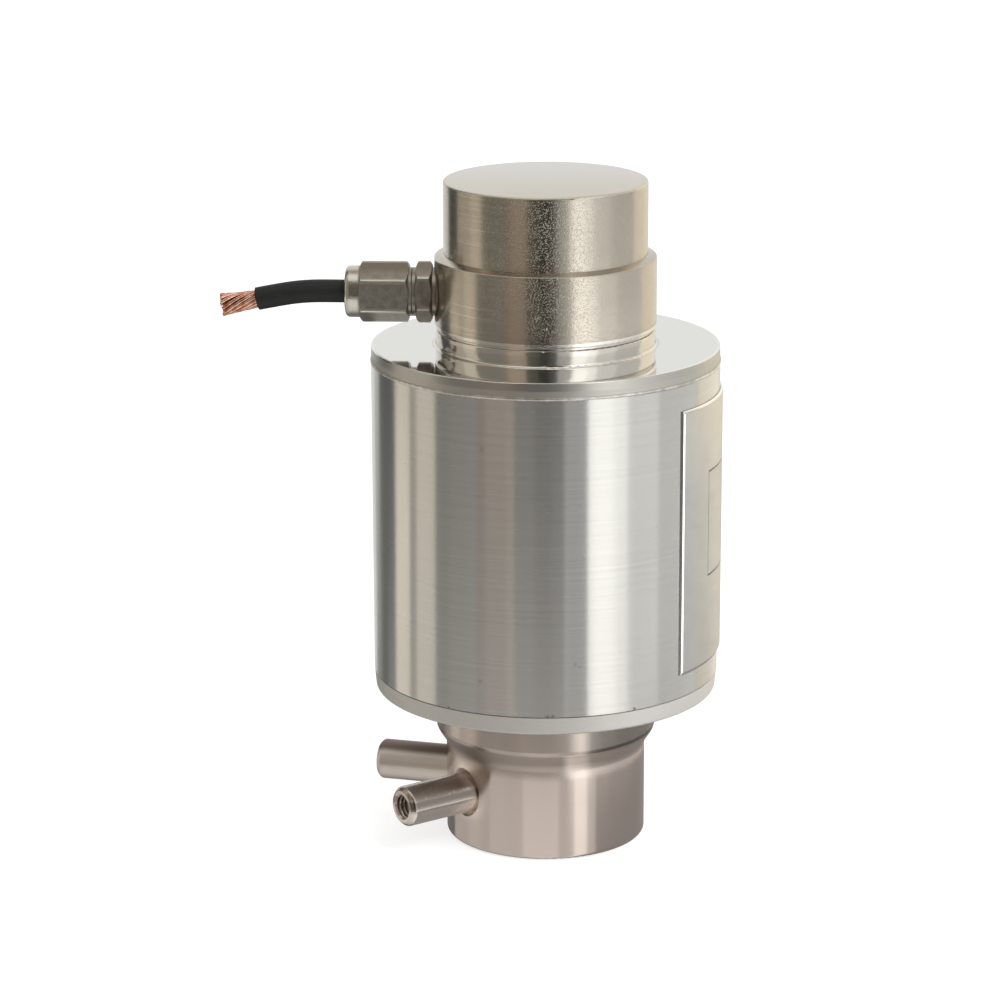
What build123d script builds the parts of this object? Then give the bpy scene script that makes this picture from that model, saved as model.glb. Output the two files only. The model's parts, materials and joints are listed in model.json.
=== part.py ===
from build123d import *

import os
from math import cos, pi, radians, sin, tan

# Column load cell, millimetres.
# The column stands on the origin along +Z, the cable gland points to -X and the nameplate faces +X.

# How far a cutter runs past the face that it opens
cut_margin = 1.0

# Heights of the column, stacked from the base up
base_height = 21.6
flare_height = 3.5
lower_collar_height = 9.85
bottom_cover_thickness = 3.95
sleeve_length = 71.05
top_cover_thickness = 3.5
neck_height = 3.65
neck_groove_width = 0.45
upper_collar_height = 15.6
collar_bevel_height = 0.65
top_boss_height = 16.2

# Radii of the column
base_radius = 22.5
lower_collar_radius = 24.8
land_radius = 25.0
neck_radius = 24.3
neck_groove_depth = 0.5
upper_collar_radius = 24.5
top_boss_radius = 22.5
gauge_column_radius = 18.0

# Edges of the column
base_edge_round = 0.8
top_edge_round = 0.5
groove_edge_round = 0.3
flare_top_round = 3.0
flare_foot_fillet = 3.0
neck_foot_fillet = 0.6
shoulder_fillet = 6.0
shoulder_overhang = 2.0
hole_mouth_chamfer = 0.6

# Gauge flats on the waist of the column
flat_distance = 15.0
flat_length = 37.0
flat_end_round = 2.0
flat_count = 4

# Housing
sleeve_radius = 38.7
sleeve_wall = 3.0
sleeve_edge_chamfer = 0.25
cover_rim_inset = 0.05
top_edge_taper = 0.05
bottom_edge_taper = 0.35
cover_edge_round = 0.25
bottom_edge_round = 0.6
lip_length = 3.0
lip_wall = 1.25
lip_clearance = 0.1
bore_clearance = 0.03
hub_width = 4.0
top_membrane = 1.0
bottom_membrane = 1.2
membrane_fillet_share = 0.15

# Nameplate
plate_width_angle = 77.5
plate_height = 59.7
plate_thickness = 0.6
plate_low_edge = 44.3
plate_edge_chamfer = 0.2
adhesive_gap = 0.03

# Anti-rotation pins
pin_radius = 4.55
pin_length = 25.0
pin_reach = 39.3
pin_height = 12.65
pin_front_angle = 217.5
pin_rear_angle = 167.5
pin_bevel = 0.85
pin_bevel_outer_round = 1.0
pin_bevel_inner_round = 0.5
pin_thread_radius = 2.5
pin_thread_depth = 10.0
pin_thread_chamfer = 0.4
drill_point_slope = 30.0
pin_clearance = 0.02
pin_end_gap = 0.3

# Cable gland: its height above the upper collar's foot, and distances outward from the column's axis
gland_angle = 180.0
gland_rise = 7.2
seat_distance = 23.85
seal_ring_radius = 5.4
seal_ring_thickness = 1.1
seat_clearance = 0.15
stub_radius = 4.0
stub_length = 5.4
thread_clearance = 0.03
pilot_radius = 2.8
pilot_bottom_distance = 14.4
hex_sides = 6
hex_across_flats = 12.0
hex_edge_round = 0.45
hex_chamfer_slope = 30.0
body_hex_length = 3.5
body_hex_turn = 37.0
nut_hex_turn = 31.0
land_ring_radius = 5.4
body_land_length = 0.9
nut_land_length = 0.7
nut_hex_length = 10.8
nut_collar_length = 3.3
nut_collar_radius = 5.7
nut_collar_round = 1.1
ring_edge_round = 0.2
barrel_radius = 4.7
barrel_length = 8.0
grommet_pocket_radius = 3.9
grommet_pocket_depth = 5.0
grommet_stand_out = 1.0
grommet_clearance = 0.05
ferrule_thickness = 1.2
cable_bore_clearance = 0.3

# Cable
cable_radius = 2.5
jacket_root_distance = 30.0
cable_straight_distance = 41.5
cable_droop_distance = 54.0
cable_droop = 0.08
jacket_tip_distance = 63.9
jacket_tip_droop = 1.72
arc_share = 0.45

# Bare conductor: strands in rings, with each ring's radius at the jacket and at the tip
strand_counts = (1, 6, 12)
strand_root_radii = (0.0, 0.82, 1.64)
strand_tip_radii = (0.0, 1.12, 2.27)
strand_radius = 0.33
strand_length = 8.0
strand_lay_angle = -55.0

# Leads inside, and the drilled passage they go down
core_radius = 0.45
core_pitch = 1.0
core_count = 4
core_bend_radius = 2.4
passage_radius = 2.2
passage_top_distance = 16.8
passage_lean = 9.2
passage_depth = 20.2

# Ring board under the top cover
board_drop = 8.6
board_thickness = 1.6
board_column_gap = 0.6
board_sleeve_gap = 3.7
spacer_radius = 1.75
spacer_gap = 0.25
spacer_count = 3
stud_radius = 1.2
stud_length = 2.0
screw_radius = 1.0
screw_length = 5.5
screw_end_gap = 1.0
screw_head_radius = 1.9
screw_head_height = 1.3
screw_clearance = 0.05
resistor_size = (1.6, 3.2, 0.6)
resistor_count = 6
resistor_edge_gap = 1.8

# Strain gauges
backing_width = 9.0
backing_height = 15.0
backing_thickness = 0.12
foil_thickness = 0.05
axial_line_count = 8
transverse_line_count = 7
grid_line_width = 0.32
grid_pitch = 0.6
grid_line_length = 6.4
grid_drop = 2.2
tab_width = 1.8
tab_height = 2.2
tab_gap = 0.8
tab_top_margin = 0.7
lead_radius = 0.15
lead_standoff = 1.6
lead_knee_drop = 8.0

# Heights worked out from the stack
flare_bottom = base_height
flare_top = flare_bottom + flare_height
bottom_cover_low = flare_top + lower_collar_height
sleeve_low = bottom_cover_low + bottom_cover_thickness
sleeve_high = sleeve_low + sleeve_length
top_cover_high = sleeve_high + top_cover_thickness
neck_high = top_cover_high + neck_height
collar_low = neck_high + neck_groove_width
collar_high = collar_low + upper_collar_height
boss_low = collar_high + collar_bevel_height
overall_height = boss_low + top_boss_height
gland_height = collar_low + gland_rise

lower_shoulder = sleeve_low + shoulder_overhang
upper_shoulder = sleeve_high - shoulder_overhang
gauge_height = (lower_shoulder + upper_shoulder) / 2

sleeve_inner_radius = sleeve_radius - sleeve_wall
cover_rim_radius = sleeve_radius - cover_rim_inset
lip_radius = sleeve_inner_radius - lip_clearance
groove_outer_radius = lip_radius - lip_wall
top_bore_radius = land_radius + bore_clearance
bottom_bore_radius = lower_collar_radius + bore_clearance

board_top = sleeve_high - board_drop
board_low = board_top - board_thickness
board_radius = sleeve_inner_radius - board_sleeve_gap
board_inner_radius = gauge_column_radius + board_column_gap
spacer_circle = land_radius + spacer_gap + spacer_radius

body_hex_start = seat_distance + seal_ring_thickness
body_hex_end = body_hex_start + body_hex_length
nut_start = body_hex_end + body_land_length
nut_hex_start = nut_start + nut_land_length
nut_hex_end = nut_hex_start + nut_hex_length
gland_mouth = nut_hex_end + nut_collar_length
barrel_end = body_hex_end + barrel_length
pocket_start = barrel_end - grommet_pocket_depth
grommet_end = barrel_end + grommet_stand_out
ferrule_end = grommet_end + ferrule_thickness
cable_bore_radius = cable_radius + cable_bore_clearance

cable_route = [
    (-jacket_root_distance, 0.0, gland_height),
    (-cable_straight_distance, 0.0, gland_height),
    (-cable_droop_distance, 0.0, gland_height - cable_droop),
    (-jacket_tip_distance, 0.0, gland_height - jacket_tip_droop),
]


def turned(points, rounds=()):
    """Solid turned about the vertical axis from its half section; rounds lists corners with their radius."""
    section = make_face(Polyline(*points, close=True))
    for corner, radius in rounds:
        section = fillet(section.vertices().sort_by_distance(corner)[0], radius)
    return revolve(Plane.XZ * section, Axis.Z)


def radial_plane(angle, distance, height):
    """Plane that faces outward at an angle about the column, with its own y axis pointing up."""
    outward = Vector(cos(radians(angle)), sin(radians(angle)), 0)
    sideways = Vector(-sin(radians(angle)), cos(radians(angle)), 0)
    return Plane(origin=outward * distance + Vector(0, 0, height), x_dir=sideways, z_dir=outward)


def rod(radius, start, end):
    """Upright cylinder between two heights of its own frame."""
    return Pos(0, 0, start) * Cylinder(radius, end - start, align=(Align.CENTER, Align.CENTER, Align.MIN))


def on_circle(count, radius, height, shape, first_angle=0.0):
    """Copies of a shape spaced evenly round the column, each turned to face outward."""
    step = 360 / count
    return [Rot(0, 0, first_angle + step * i) * Pos(radius, 0, height) * shape for i in range(count)]


def gland_frame():
    """Frame of the gland: its z axis runs outward from the column's axis."""
    return radial_plane(gland_angle, 0, gland_height)


def column_body():
    """The load-carrying column, turned, milled and drilled from one bar."""
    profile = [
        (0, 0),
        (base_radius, 0),
        (base_radius, flare_bottom),
        (lower_collar_radius, flare_top),
        (lower_collar_radius, lower_shoulder),
        (gauge_column_radius, lower_shoulder),
        (gauge_column_radius, upper_shoulder),
        (land_radius, upper_shoulder),
        (land_radius, top_cover_high),
        (neck_radius, top_cover_high),
        (neck_radius, neck_high),
        (neck_radius - neck_groove_depth, neck_high),
        (neck_radius - neck_groove_depth, collar_low),
        (upper_collar_radius, collar_low),
        (upper_collar_radius, collar_high),
        (top_boss_radius, boss_low),
        (top_boss_radius, overall_height),
        (0, overall_height),
    ]
    rounds = [
        ((base_radius, 0), base_edge_round),
        ((base_radius, flare_bottom), flare_foot_fillet),
        ((lower_collar_radius, flare_top), flare_top_round),
        ((gauge_column_radius, lower_shoulder), shoulder_fillet),
        ((gauge_column_radius, upper_shoulder), shoulder_fillet),
        ((neck_radius, top_cover_high), neck_foot_fillet),
        ((neck_radius, neck_high), groove_edge_round),
        ((upper_collar_radius, collar_low), groove_edge_round),
        ((upper_collar_radius, collar_high), groove_edge_round),
        ((top_boss_radius, overall_height), top_edge_round),
    ]
    column = turned(profile, rounds)
    column -= gauge_flats()
    for angle in (pin_front_angle, pin_rear_angle):
        column -= pin_hole(angle)
    column -= gland_hole()
    column -= lead_passage()
    return column


def gauge_flats():
    """Cutters for the flats that carry the strain gauges, with the cutter's corner radius at each end."""
    depth = gauge_column_radius
    cutter = Box(depth, 2 * gauge_column_radius, flat_length, align=(Align.MIN, Align.CENTER, Align.CENTER))
    inner_ends = cutter.faces().sort_by(Axis.X)[0].edges().filter_by(Axis.Y)
    cutter = fillet(inner_ends, flat_end_round)
    return on_circle(flat_count, flat_distance, gauge_height, cutter)


def pin_hole(angle):
    """Blind hole for one anti-rotation pin, with a countersunk mouth."""
    bottom = pin_reach - pin_length - pin_end_gap
    radius = pin_radius + pin_clearance
    hole = rod(radius, bottom, base_radius + cut_margin)
    mouth_start = (base_radius**2 - radius**2) ** 0.5 - hole_mouth_chamfer
    mouth_length = base_radius + cut_margin - mouth_start
    mouth = Pos(0, 0, mouth_start) * Cone(
        radius, radius + mouth_length, mouth_length, align=(Align.CENTER, Align.CENTER, Align.MIN)
    )
    return radial_plane(angle, 0, pin_height) * (hole + mouth)


def gland_hole():
    """Spot-faced and tapped hole for the gland, with the cable's pilot hole behind it."""
    spot_face = rod(seal_ring_radius + seat_clearance, seat_distance, upper_collar_radius + cut_margin)
    tapped = rod(stub_radius + thread_clearance, body_hex_start - stub_length, seat_distance + cut_margin)
    pilot = rod(pilot_radius, pilot_bottom_distance, seat_distance)
    return gland_frame() * (spot_face + tapped + pilot)


def passage_frame():
    """Frame of the leaning passage: its z axis runs down and outward from the pilot hole."""
    lean = radians(passage_lean)
    downward = Vector(-sin(lean), 0, -cos(lean))
    return Plane(origin=(-passage_top_distance, 0, gland_height), x_dir=(0, 1, 0), z_dir=downward)


def lead_passage():
    """Leaning hole that takes the leads from the pilot hole into the housing."""
    return passage_frame() * rod(passage_radius, 0, passage_depth)


def housing_sleeve():
    """Thin tube between the two covers."""
    profile = [
        (sleeve_inner_radius, sleeve_low),
        (sleeve_radius - sleeve_edge_chamfer, sleeve_low),
        (sleeve_radius, sleeve_low + sleeve_edge_chamfer),
        (sleeve_radius, sleeve_high - sleeve_edge_chamfer),
        (sleeve_radius - sleeve_edge_chamfer, sleeve_high),
        (sleeve_inner_radius, sleeve_high),
    ]
    return turned(profile)


def top_cover():
    """Polished cover plate with a thin membrane, a lip inside the sleeve and stud holes for the board."""
    hub_radius = top_bore_radius + hub_width
    edge_radius = cover_rim_radius - top_edge_taper
    membrane_fillet = membrane_fillet_share * (groove_outer_radius - hub_radius)
    roof = top_cover_high - top_membrane
    profile = [
        (top_bore_radius, sleeve_high),
        (hub_radius, sleeve_high),
        (hub_radius, roof),
        (groove_outer_radius, roof),
        (groove_outer_radius, sleeve_high - lip_length),
        (lip_radius, sleeve_high - lip_length),
        (lip_radius, sleeve_high),
        (cover_rim_radius, sleeve_high),
        (edge_radius, top_cover_high),
        (top_bore_radius, top_cover_high),
    ]
    rounds = [
        ((hub_radius, roof), membrane_fillet),
        ((groove_outer_radius, roof), membrane_fillet),
        ((edge_radius, top_cover_high), cover_edge_round),
    ]
    stud_hole = rod(stud_radius + screw_clearance, -cut_margin, stud_length + screw_clearance)
    return turned(profile, rounds) - on_circle(spacer_count, spacer_circle, sleeve_high, stud_hole)


def bottom_cover():
    """Lower cover plate, with its membrane and its lip inside the sleeve."""
    hub_radius = bottom_bore_radius + hub_width
    edge_radius = cover_rim_radius - bottom_edge_taper
    membrane_fillet = membrane_fillet_share * (groove_outer_radius - hub_radius)
    floor = bottom_cover_low + bottom_membrane
    profile = [
        (bottom_bore_radius, bottom_cover_low),
        (edge_radius, bottom_cover_low),
        (cover_rim_radius, sleeve_low),
        (lip_radius, sleeve_low),
        (lip_radius, sleeve_low + lip_length),
        (groove_outer_radius, sleeve_low + lip_length),
        (groove_outer_radius, floor),
        (hub_radius, floor),
        (hub_radius, sleeve_low),
        (bottom_bore_radius, sleeve_low),
    ]
    rounds = [
        ((edge_radius, bottom_cover_low), bottom_edge_round),
        ((groove_outer_radius, floor), membrane_fillet),
        ((hub_radius, floor), membrane_fillet),
    ]
    return turned(profile, rounds)


def nameplate():
    """Thin plate rolled to the sleeve's curve, bare, with bevelled edges."""
    inner = sleeve_radius + adhesive_gap
    outer = inner + plate_thickness
    high_edge = plate_low_edge + plate_height
    profile = [
        (inner, plate_low_edge),
        (outer - plate_edge_chamfer, plate_low_edge),
        (outer, plate_low_edge + plate_edge_chamfer),
        (outer, high_edge - plate_edge_chamfer),
        (outer - plate_edge_chamfer, high_edge),
        (inner, high_edge),
    ]
    section = Plane.XZ * make_face(Polyline(*profile, close=True))
    plate = Rot(0, 0, -plate_width_angle / 2) * revolve(section, Axis.Z, plate_width_angle)
    outer_wall = plate.faces().filter_by(GeomType.CYLINDER).sort_by(SortBy.AREA)[-1]
    side_edges = outer_wall.edges().filter_by(Axis.Z)
    return chamfer(side_edges, plate_edge_chamfer)


def anti_rotation_pin(angle):
    """Dowel pin with a bevelled outer end and a tapped hole for drawing it out."""
    inner_end = pin_reach - pin_length
    profile = [
        (0, inner_end),
        (pin_radius - pin_bevel, inner_end),
        (pin_radius, inner_end + pin_bevel),
        (pin_radius, pin_reach - pin_bevel),
        (pin_radius - pin_bevel, pin_reach),
        (pin_thread_radius + pin_thread_chamfer, pin_reach),
        (pin_thread_radius, pin_reach - pin_thread_chamfer),
        (pin_thread_radius, pin_reach - pin_thread_depth),
        (0, pin_reach - pin_thread_depth - pin_thread_radius * tan(radians(drill_point_slope))),
    ]
    rounds = [
        ((pin_radius, pin_reach - pin_bevel), pin_bevel_outer_round),
        ((pin_radius - pin_bevel, pin_reach), pin_bevel_inner_round),
    ]
    return radial_plane(angle, 0, pin_height) * turned(profile, rounds)


def gland_seal_ring():
    """Flat ring between the collar's spot face and the gland."""
    ring = rod(seal_ring_radius, seat_distance, body_hex_start)
    ring = fillet(ring.edges().filter_by(GeomType.CIRCLE), ring_edge_round)
    ring -= rod(stub_radius + thread_clearance, seat_distance, body_hex_start)
    return gland_frame() * ring


def hexagon(start, end, turn):
    """Hexagonal prism with rounded edges, its corners cut by the usual chamfer cone at both ends."""
    flat_radius = hex_across_flats / 2
    outline = RegularPolygon(flat_radius, hex_sides, major_radius=False, rotation=turn)
    outline = fillet(outline.vertices(), hex_edge_round)
    prism = Pos(0, 0, start) * extrude(outline, end - start)
    corner_radius = flat_radius / cos(radians(180 / hex_sides))
    chamfer_length = (corner_radius - flat_radius) * tan(radians(hex_chamfer_slope))
    barrel = [
        (0, start),
        (flat_radius, start),
        (corner_radius, start + chamfer_length),
        (corner_radius, end - chamfer_length),
        (flat_radius, end),
        (0, end),
    ]
    return prism & turned(barrel)


def gland_body():
    """Gland body: threaded stub, hexagon, small land and the barrel that holds the grommet."""
    body = hexagon(body_hex_start, body_hex_end, body_hex_turn)
    body += rod(stub_radius, body_hex_start - stub_length, body_hex_start)
    land = rod(land_ring_radius, body_hex_end, nut_start)
    body += fillet(land.edges().filter_by(GeomType.CIRCLE).sort_by(Axis.Z)[-1], ring_edge_round)
    body += rod(barrel_radius, body_hex_end, barrel_end)
    body -= rod(cable_bore_radius, body_hex_start - stub_length, barrel_end)
    body -= rod(grommet_pocket_radius, pocket_start, barrel_end)
    return gland_frame() * body


def gland_nut():
    """Clamping nut: land, long hexagon and a rounded collar with the cable's mouth."""
    nut = hexagon(nut_hex_start, nut_hex_end, nut_hex_turn)
    land = rod(land_ring_radius, nut_start, nut_hex_start)
    nut += fillet(land.edges().filter_by(GeomType.CIRCLE).sort_by(Axis.Z)[0], ring_edge_round)
    collar = rod(nut_collar_radius, nut_hex_end, gland_mouth)
    nut += fillet(collar.edges().filter_by(GeomType.CIRCLE).sort_by(Axis.Z)[-1], nut_collar_round)
    nut -= rod(barrel_radius + thread_clearance, nut_start, ferrule_end)
    nut -= rod(cable_bore_radius, ferrule_end, gland_mouth)
    return gland_frame() * nut


def cable_grommet():
    """Rubber seal squeezed round the cable in the body's pocket."""
    grommet = rod(grommet_pocket_radius - grommet_clearance, pocket_start, grommet_end)
    grommet -= rod(cable_radius + grommet_clearance, pocket_start, grommet_end)
    return gland_frame() * grommet


def clamp_ferrule():
    """Thrust ring through which the nut presses the grommet."""
    ferrule = rod(barrel_radius - grommet_clearance, grommet_end, ferrule_end)
    ferrule -= rod(cable_bore_radius, grommet_end, ferrule_end)
    return gland_frame() * ferrule


def corner_radii(points):
    """Radius of each bend: a share of its shorter run, divided by the tangent of half the turn."""
    radii = []
    for before, corner, after in zip(points, points[1:], points[2:]):
        first_run = Vector(*corner) - Vector(*before)
        second_run = Vector(*after) - Vector(*corner)
        turn = first_run.get_angle(second_run)
        shorter = min(first_run.length, second_run.length)
        radii.append(arc_share * shorter / tan(radians(turn / 2)))
    return radii


def round_tube(path, radius):
    """Solid of round section along a path."""
    return sweep(Plane(path @ 0, z_dir=path % 0) * Circle(radius), path)


def cable_path():
    """Middle line of the cable: straight runs joined by tangent arcs."""
    return FilletPolyline(*cable_route, radius=corner_radii(cable_route))


def cable_jacket():
    """The cable's outer jacket, from inside the gland to its cut end."""
    return round_tube(cable_path(), cable_radius)


def conductor_strands():
    """Bare strands at the cut end: each is straight, and the lay makes them lean round the bundle."""
    path = cable_path()
    frame = Plane(path @ 1, x_dir=(0, -1, 0), z_dir=path % 1)
    trim = rod(cable_radius + cut_margin, 0, strand_length)
    strands = []
    for count, root_radius, tip_radius in zip(strand_counts, strand_root_radii, strand_tip_radii):
        for i in range(count):
            root_angle = radians(360 / count * i)
            tip_angle = root_angle + radians(strand_lay_angle)
            root = Vector(root_radius * cos(root_angle), root_radius * sin(root_angle), 0)
            tip = Vector(tip_radius * cos(tip_angle), tip_radius * sin(tip_angle), strand_length)
            along = (tip - root).normalized()
            wire = Plane(root, z_dir=along) * rod(strand_radius, -cut_margin, strand_length + 2 * cut_margin)
            strands.append(frame * (wire & trim))
    return strands


def cable_cores():
    """Insulated leads that leave the jacket, turn down the passage and end on the board."""
    lean = radians(passage_lean)
    fall = gland_height - board_top + cut_margin
    foot = passage_top_distance + fall * tan(lean)
    in_the_board = rod(board_radius, board_low, board_top)
    cores = []
    for i in range(core_count):
        side = core_pitch * (i - (core_count - 1) / 2)
        points = [
            (-jacket_root_distance, side, gland_height),
            (-passage_top_distance, side, gland_height),
            (-foot, side, gland_height - fall),
        ]
        path = FilletPolyline(*points, radius=core_bend_radius)
        cores.append(round_tube(path, core_radius) - in_the_board)
    return cores


def ring_board():
    """Ring-shaped circuit board, with holes for its screws."""
    board = rod(board_radius, board_low, board_top) - rod(board_inner_radius, board_low, board_top)
    hole = rod(screw_radius + screw_clearance, -board_thickness, board_thickness)
    return board - on_circle(spacer_count, spacer_circle, board_low, hole)


def board_spacers():
    """Spacers that hang the board under the top cover, each with a stud in the cover."""
    spacer = rod(spacer_radius, 0, board_drop) + rod(stud_radius, board_drop, board_drop + stud_length)
    spacer -= rod(screw_radius + screw_clearance, 0, screw_length - board_thickness + screw_end_gap)
    return on_circle(spacer_count, spacer_circle, board_top, spacer)


def board_screws():
    """Small screws that hold the board to its spacers."""
    screw = rod(screw_radius, 0, screw_length) + rod(screw_head_radius, -screw_head_height, 0)
    return on_circle(spacer_count, spacer_circle, board_low, screw)


def bridge_resistors():
    """Chip resistors on the board, between the spacers."""
    chip = Box(*resistor_size, align=(Align.CENTER, Align.CENTER, Align.MIN))
    circle = board_radius - resistor_edge_gap
    return on_circle(resistor_count, circle, board_top, chip, 180 / resistor_count)


def gauge_frame(index):
    """Frame on one flat of the column: x sideways, y up, z outward."""
    return radial_plane(index * 360 / flat_count, flat_distance, gauge_height)


def gauge_backing(index):
    """Carrier film of one strain gauge."""
    film = Box(
        backing_width, backing_height, backing_thickness, align=(Align.CENTER, Align.CENTER, Align.MIN)
    )
    return gauge_frame(index) * film


def tab_side():
    """Sideways distance of each solder tab from the gauge's middle."""
    return (tab_width + tab_gap) / 2


def tab_middle():
    """Height of the solder tabs above the gauge's middle."""
    return backing_height / 2 - tab_top_margin - tab_height / 2


def serpentine(line_count):
    """Turning points of a serpentine of upright lines round its own origin, from its upper left end."""
    half = grid_line_length / 2
    points = []
    for i in range(line_count):
        across = grid_pitch * (i - (line_count - 1) / 2)
        first_end = half if i % 2 == 0 else -half
        points += [(across, first_end), (across, -first_end)]
    return points


def axial_route():
    """Foil track of a gauge that reads along the column, from tab to tab."""
    grid = [(x, y - grid_drop) for x, y in serpentine(axial_line_count)]
    return [(grid[0][0], tab_middle())] + grid + [(grid[-1][0], tab_middle())]


def transverse_route():
    """Foil track of a gauge that reads across the column: the serpentine lies on its side."""
    grid = [(-y, x - grid_drop) for x, y in serpentine(transverse_line_count)]
    outside = -(grid_line_length / 2 + grid_pitch)
    start = [(-tab_side(), tab_middle()), (outside, tab_middle()), (outside, grid[0][1])]
    end = [(grid[-1][0], tab_middle()), (tab_side(), tab_middle())]
    return start + grid + end


def foil_track(start, end):
    """Straight piece of foil track, squared off half its width past both points."""
    middle = ((start[0] + end[0]) / 2, (start[1] + end[1]) / 2)
    across = abs(end[0] - start[0]) + grid_line_width
    along = abs(end[1] - start[1]) + grid_line_width
    return Pos(*middle) * Rectangle(across, along)


def gauge_grid(index):
    """Etched foil of one strain gauge: two solder tabs joined by a serpentine."""
    route = transverse_route() if index % 2 else axial_route()
    tracks = [foil_track(start, end) for start, end in zip(route, route[1:])]
    tabs = [Pos(side * tab_side(), tab_middle()) * Rectangle(tab_width, tab_height) for side in (-1, 1)]
    foil = extrude(Sketch() + tracks + tabs, foil_thickness)
    return gauge_frame(index) * Pos(0, 0, backing_thickness) * foil


def gauge_leads():
    """Fine wires from the gauges' solder tabs, clear of the column, up to the board."""
    tab_face = flat_distance + backing_thickness + foil_thickness
    rise_distance = gauge_column_radius + lead_standoff
    start_height = gauge_height + tab_middle()
    knee_height = board_low - lead_knee_drop
    slope = (knee_height - start_height) / (rise_distance - tab_face)
    root_distance = tab_face - lead_radius * 2
    root_height = start_height - slope * (tab_face - root_distance)
    inside = Box(2 * tab_face, 2 * tab_face, 2 * overall_height)
    leads = []
    for index in range(flat_count):
        for side in (-1, 1):
            across = side * tab_side()
            points = [
                (root_distance, across, root_height),
                (rise_distance, across, knee_height),
                (rise_distance, across, board_low),
            ]
            path = FilletPolyline(*points, radius=corner_radii(points))
            lead = round_tube(path, lead_radius) - inside
            leads.append(Rot(0, 0, index * 360 / flat_count) * lead)
    return leads


def save(name, shape):
    """Write one node, as a group where it holds several solids."""
    pieces = shape if isinstance(shape, list) else [shape]
    solids = [solid for piece in pieces for solid in piece.solids()]
    whole = solids[0] if len(solids) == 1 else Compound(children=solids)
    export_step(whole, f"parts/{name}.step")


def main():
    os.makedirs("parts", exist_ok=True)
    save("column_body", column_body())
    save("housing_sleeve", housing_sleeve())
    save("top_cover", top_cover())
    save("bottom_cover", bottom_cover())
    save("nameplate", nameplate())
    save("anti_rotation_pin_front", anti_rotation_pin(pin_front_angle))
    save("anti_rotation_pin_rear", anti_rotation_pin(pin_rear_angle))
    save("gland_seal_ring", gland_seal_ring())
    save("gland_body", gland_body())
    save("gland_nut", gland_nut())
    save("cable_grommet", cable_grommet())
    save("clamp_ferrule", clamp_ferrule())
    save("cable_jacket", cable_jacket())
    save("conductor_strands", conductor_strands())
    save("cable_cores", cable_cores())
    save("ring_board", ring_board())
    save("board_spacers", board_spacers())
    save("board_screws", board_screws())
    save("bridge_resistors", bridge_resistors())
    save("gauge_leads", gauge_leads())
    for index in range(flat_count):
        save(f"gauge_backing_{index + 1}", gauge_backing(index))
        save(f"gauge_grid_{index + 1}", gauge_grid(index))
    path = cable_path()
    print("cable bend radii:", [round(radius, 1) for radius in corner_radii(cable_route)])
    print("cable length:", round(path.length, 2))
    print("jacket volume over section times length:",
          round(cable_jacket().volume / (pi * cable_radius**2 * path.length), 5))
    print("overall height:", round(overall_height, 3))


main()
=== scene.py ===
# %% [markdown]
# # A column load cell
#
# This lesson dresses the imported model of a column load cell. The steel column carries the load, a sealed
# round housing keeps its strain gauges dry, two pins stop it turning, and a cable leaves through a small
# gland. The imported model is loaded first. It is fixed: every piece that is made here sits in its frame, in
# metres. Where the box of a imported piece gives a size, it is read from there.

import json
from functools import cached_property
from math import cos, pi, radians, sin

import bpy
import numpy as np
from mathutils import Matrix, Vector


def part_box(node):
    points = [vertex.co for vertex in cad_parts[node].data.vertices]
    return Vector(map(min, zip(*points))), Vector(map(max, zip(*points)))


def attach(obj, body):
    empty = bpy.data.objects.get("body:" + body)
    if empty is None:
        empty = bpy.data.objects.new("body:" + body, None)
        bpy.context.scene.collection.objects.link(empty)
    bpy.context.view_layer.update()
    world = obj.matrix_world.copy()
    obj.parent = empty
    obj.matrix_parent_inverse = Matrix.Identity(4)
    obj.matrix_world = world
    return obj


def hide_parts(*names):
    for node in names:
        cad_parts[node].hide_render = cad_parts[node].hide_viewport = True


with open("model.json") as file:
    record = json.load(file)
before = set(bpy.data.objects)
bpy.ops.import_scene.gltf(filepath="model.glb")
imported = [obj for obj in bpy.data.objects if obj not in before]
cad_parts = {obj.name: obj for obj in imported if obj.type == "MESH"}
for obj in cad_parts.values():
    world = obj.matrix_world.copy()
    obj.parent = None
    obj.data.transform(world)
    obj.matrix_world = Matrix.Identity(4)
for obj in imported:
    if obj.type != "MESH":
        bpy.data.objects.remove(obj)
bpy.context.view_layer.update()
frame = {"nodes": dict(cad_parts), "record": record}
MM = 0.001


def box_mm(node):
    """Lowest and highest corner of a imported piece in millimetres, to a hundredth."""
    return [[round(value / MM, 2) for value in corner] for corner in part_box(node)]


print("pieces in the frame:", len(frame["nodes"]))

# %% [markdown]
# ## The camera
#
# A product photographer stands well back with a long lens, so that upright edges stay nearly upright. The
# camera's place and aim were worked out from the rims of the real object's turned parts: a circle shows as
# an ellipse, whose shape tells from where it is seen.

# %% Place the camera
CAMERA_AZIMUTH = 2.0
CAMERA_DISTANCE = 0.77936
CAMERA_HEIGHT = 0.29340
CAMERA_PITCH = 15.497
CAMERA_YAW = 0.750
CAMERA_ROLL = -0.188
LENS_MM = 130.04
SENSOR_MM = 36.0
VIEW_REACH = 20.0


def turn(degrees, axis):
    """Rotation matrix about one axis."""
    return Matrix.Rotation(radians(degrees), 4, axis)


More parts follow.
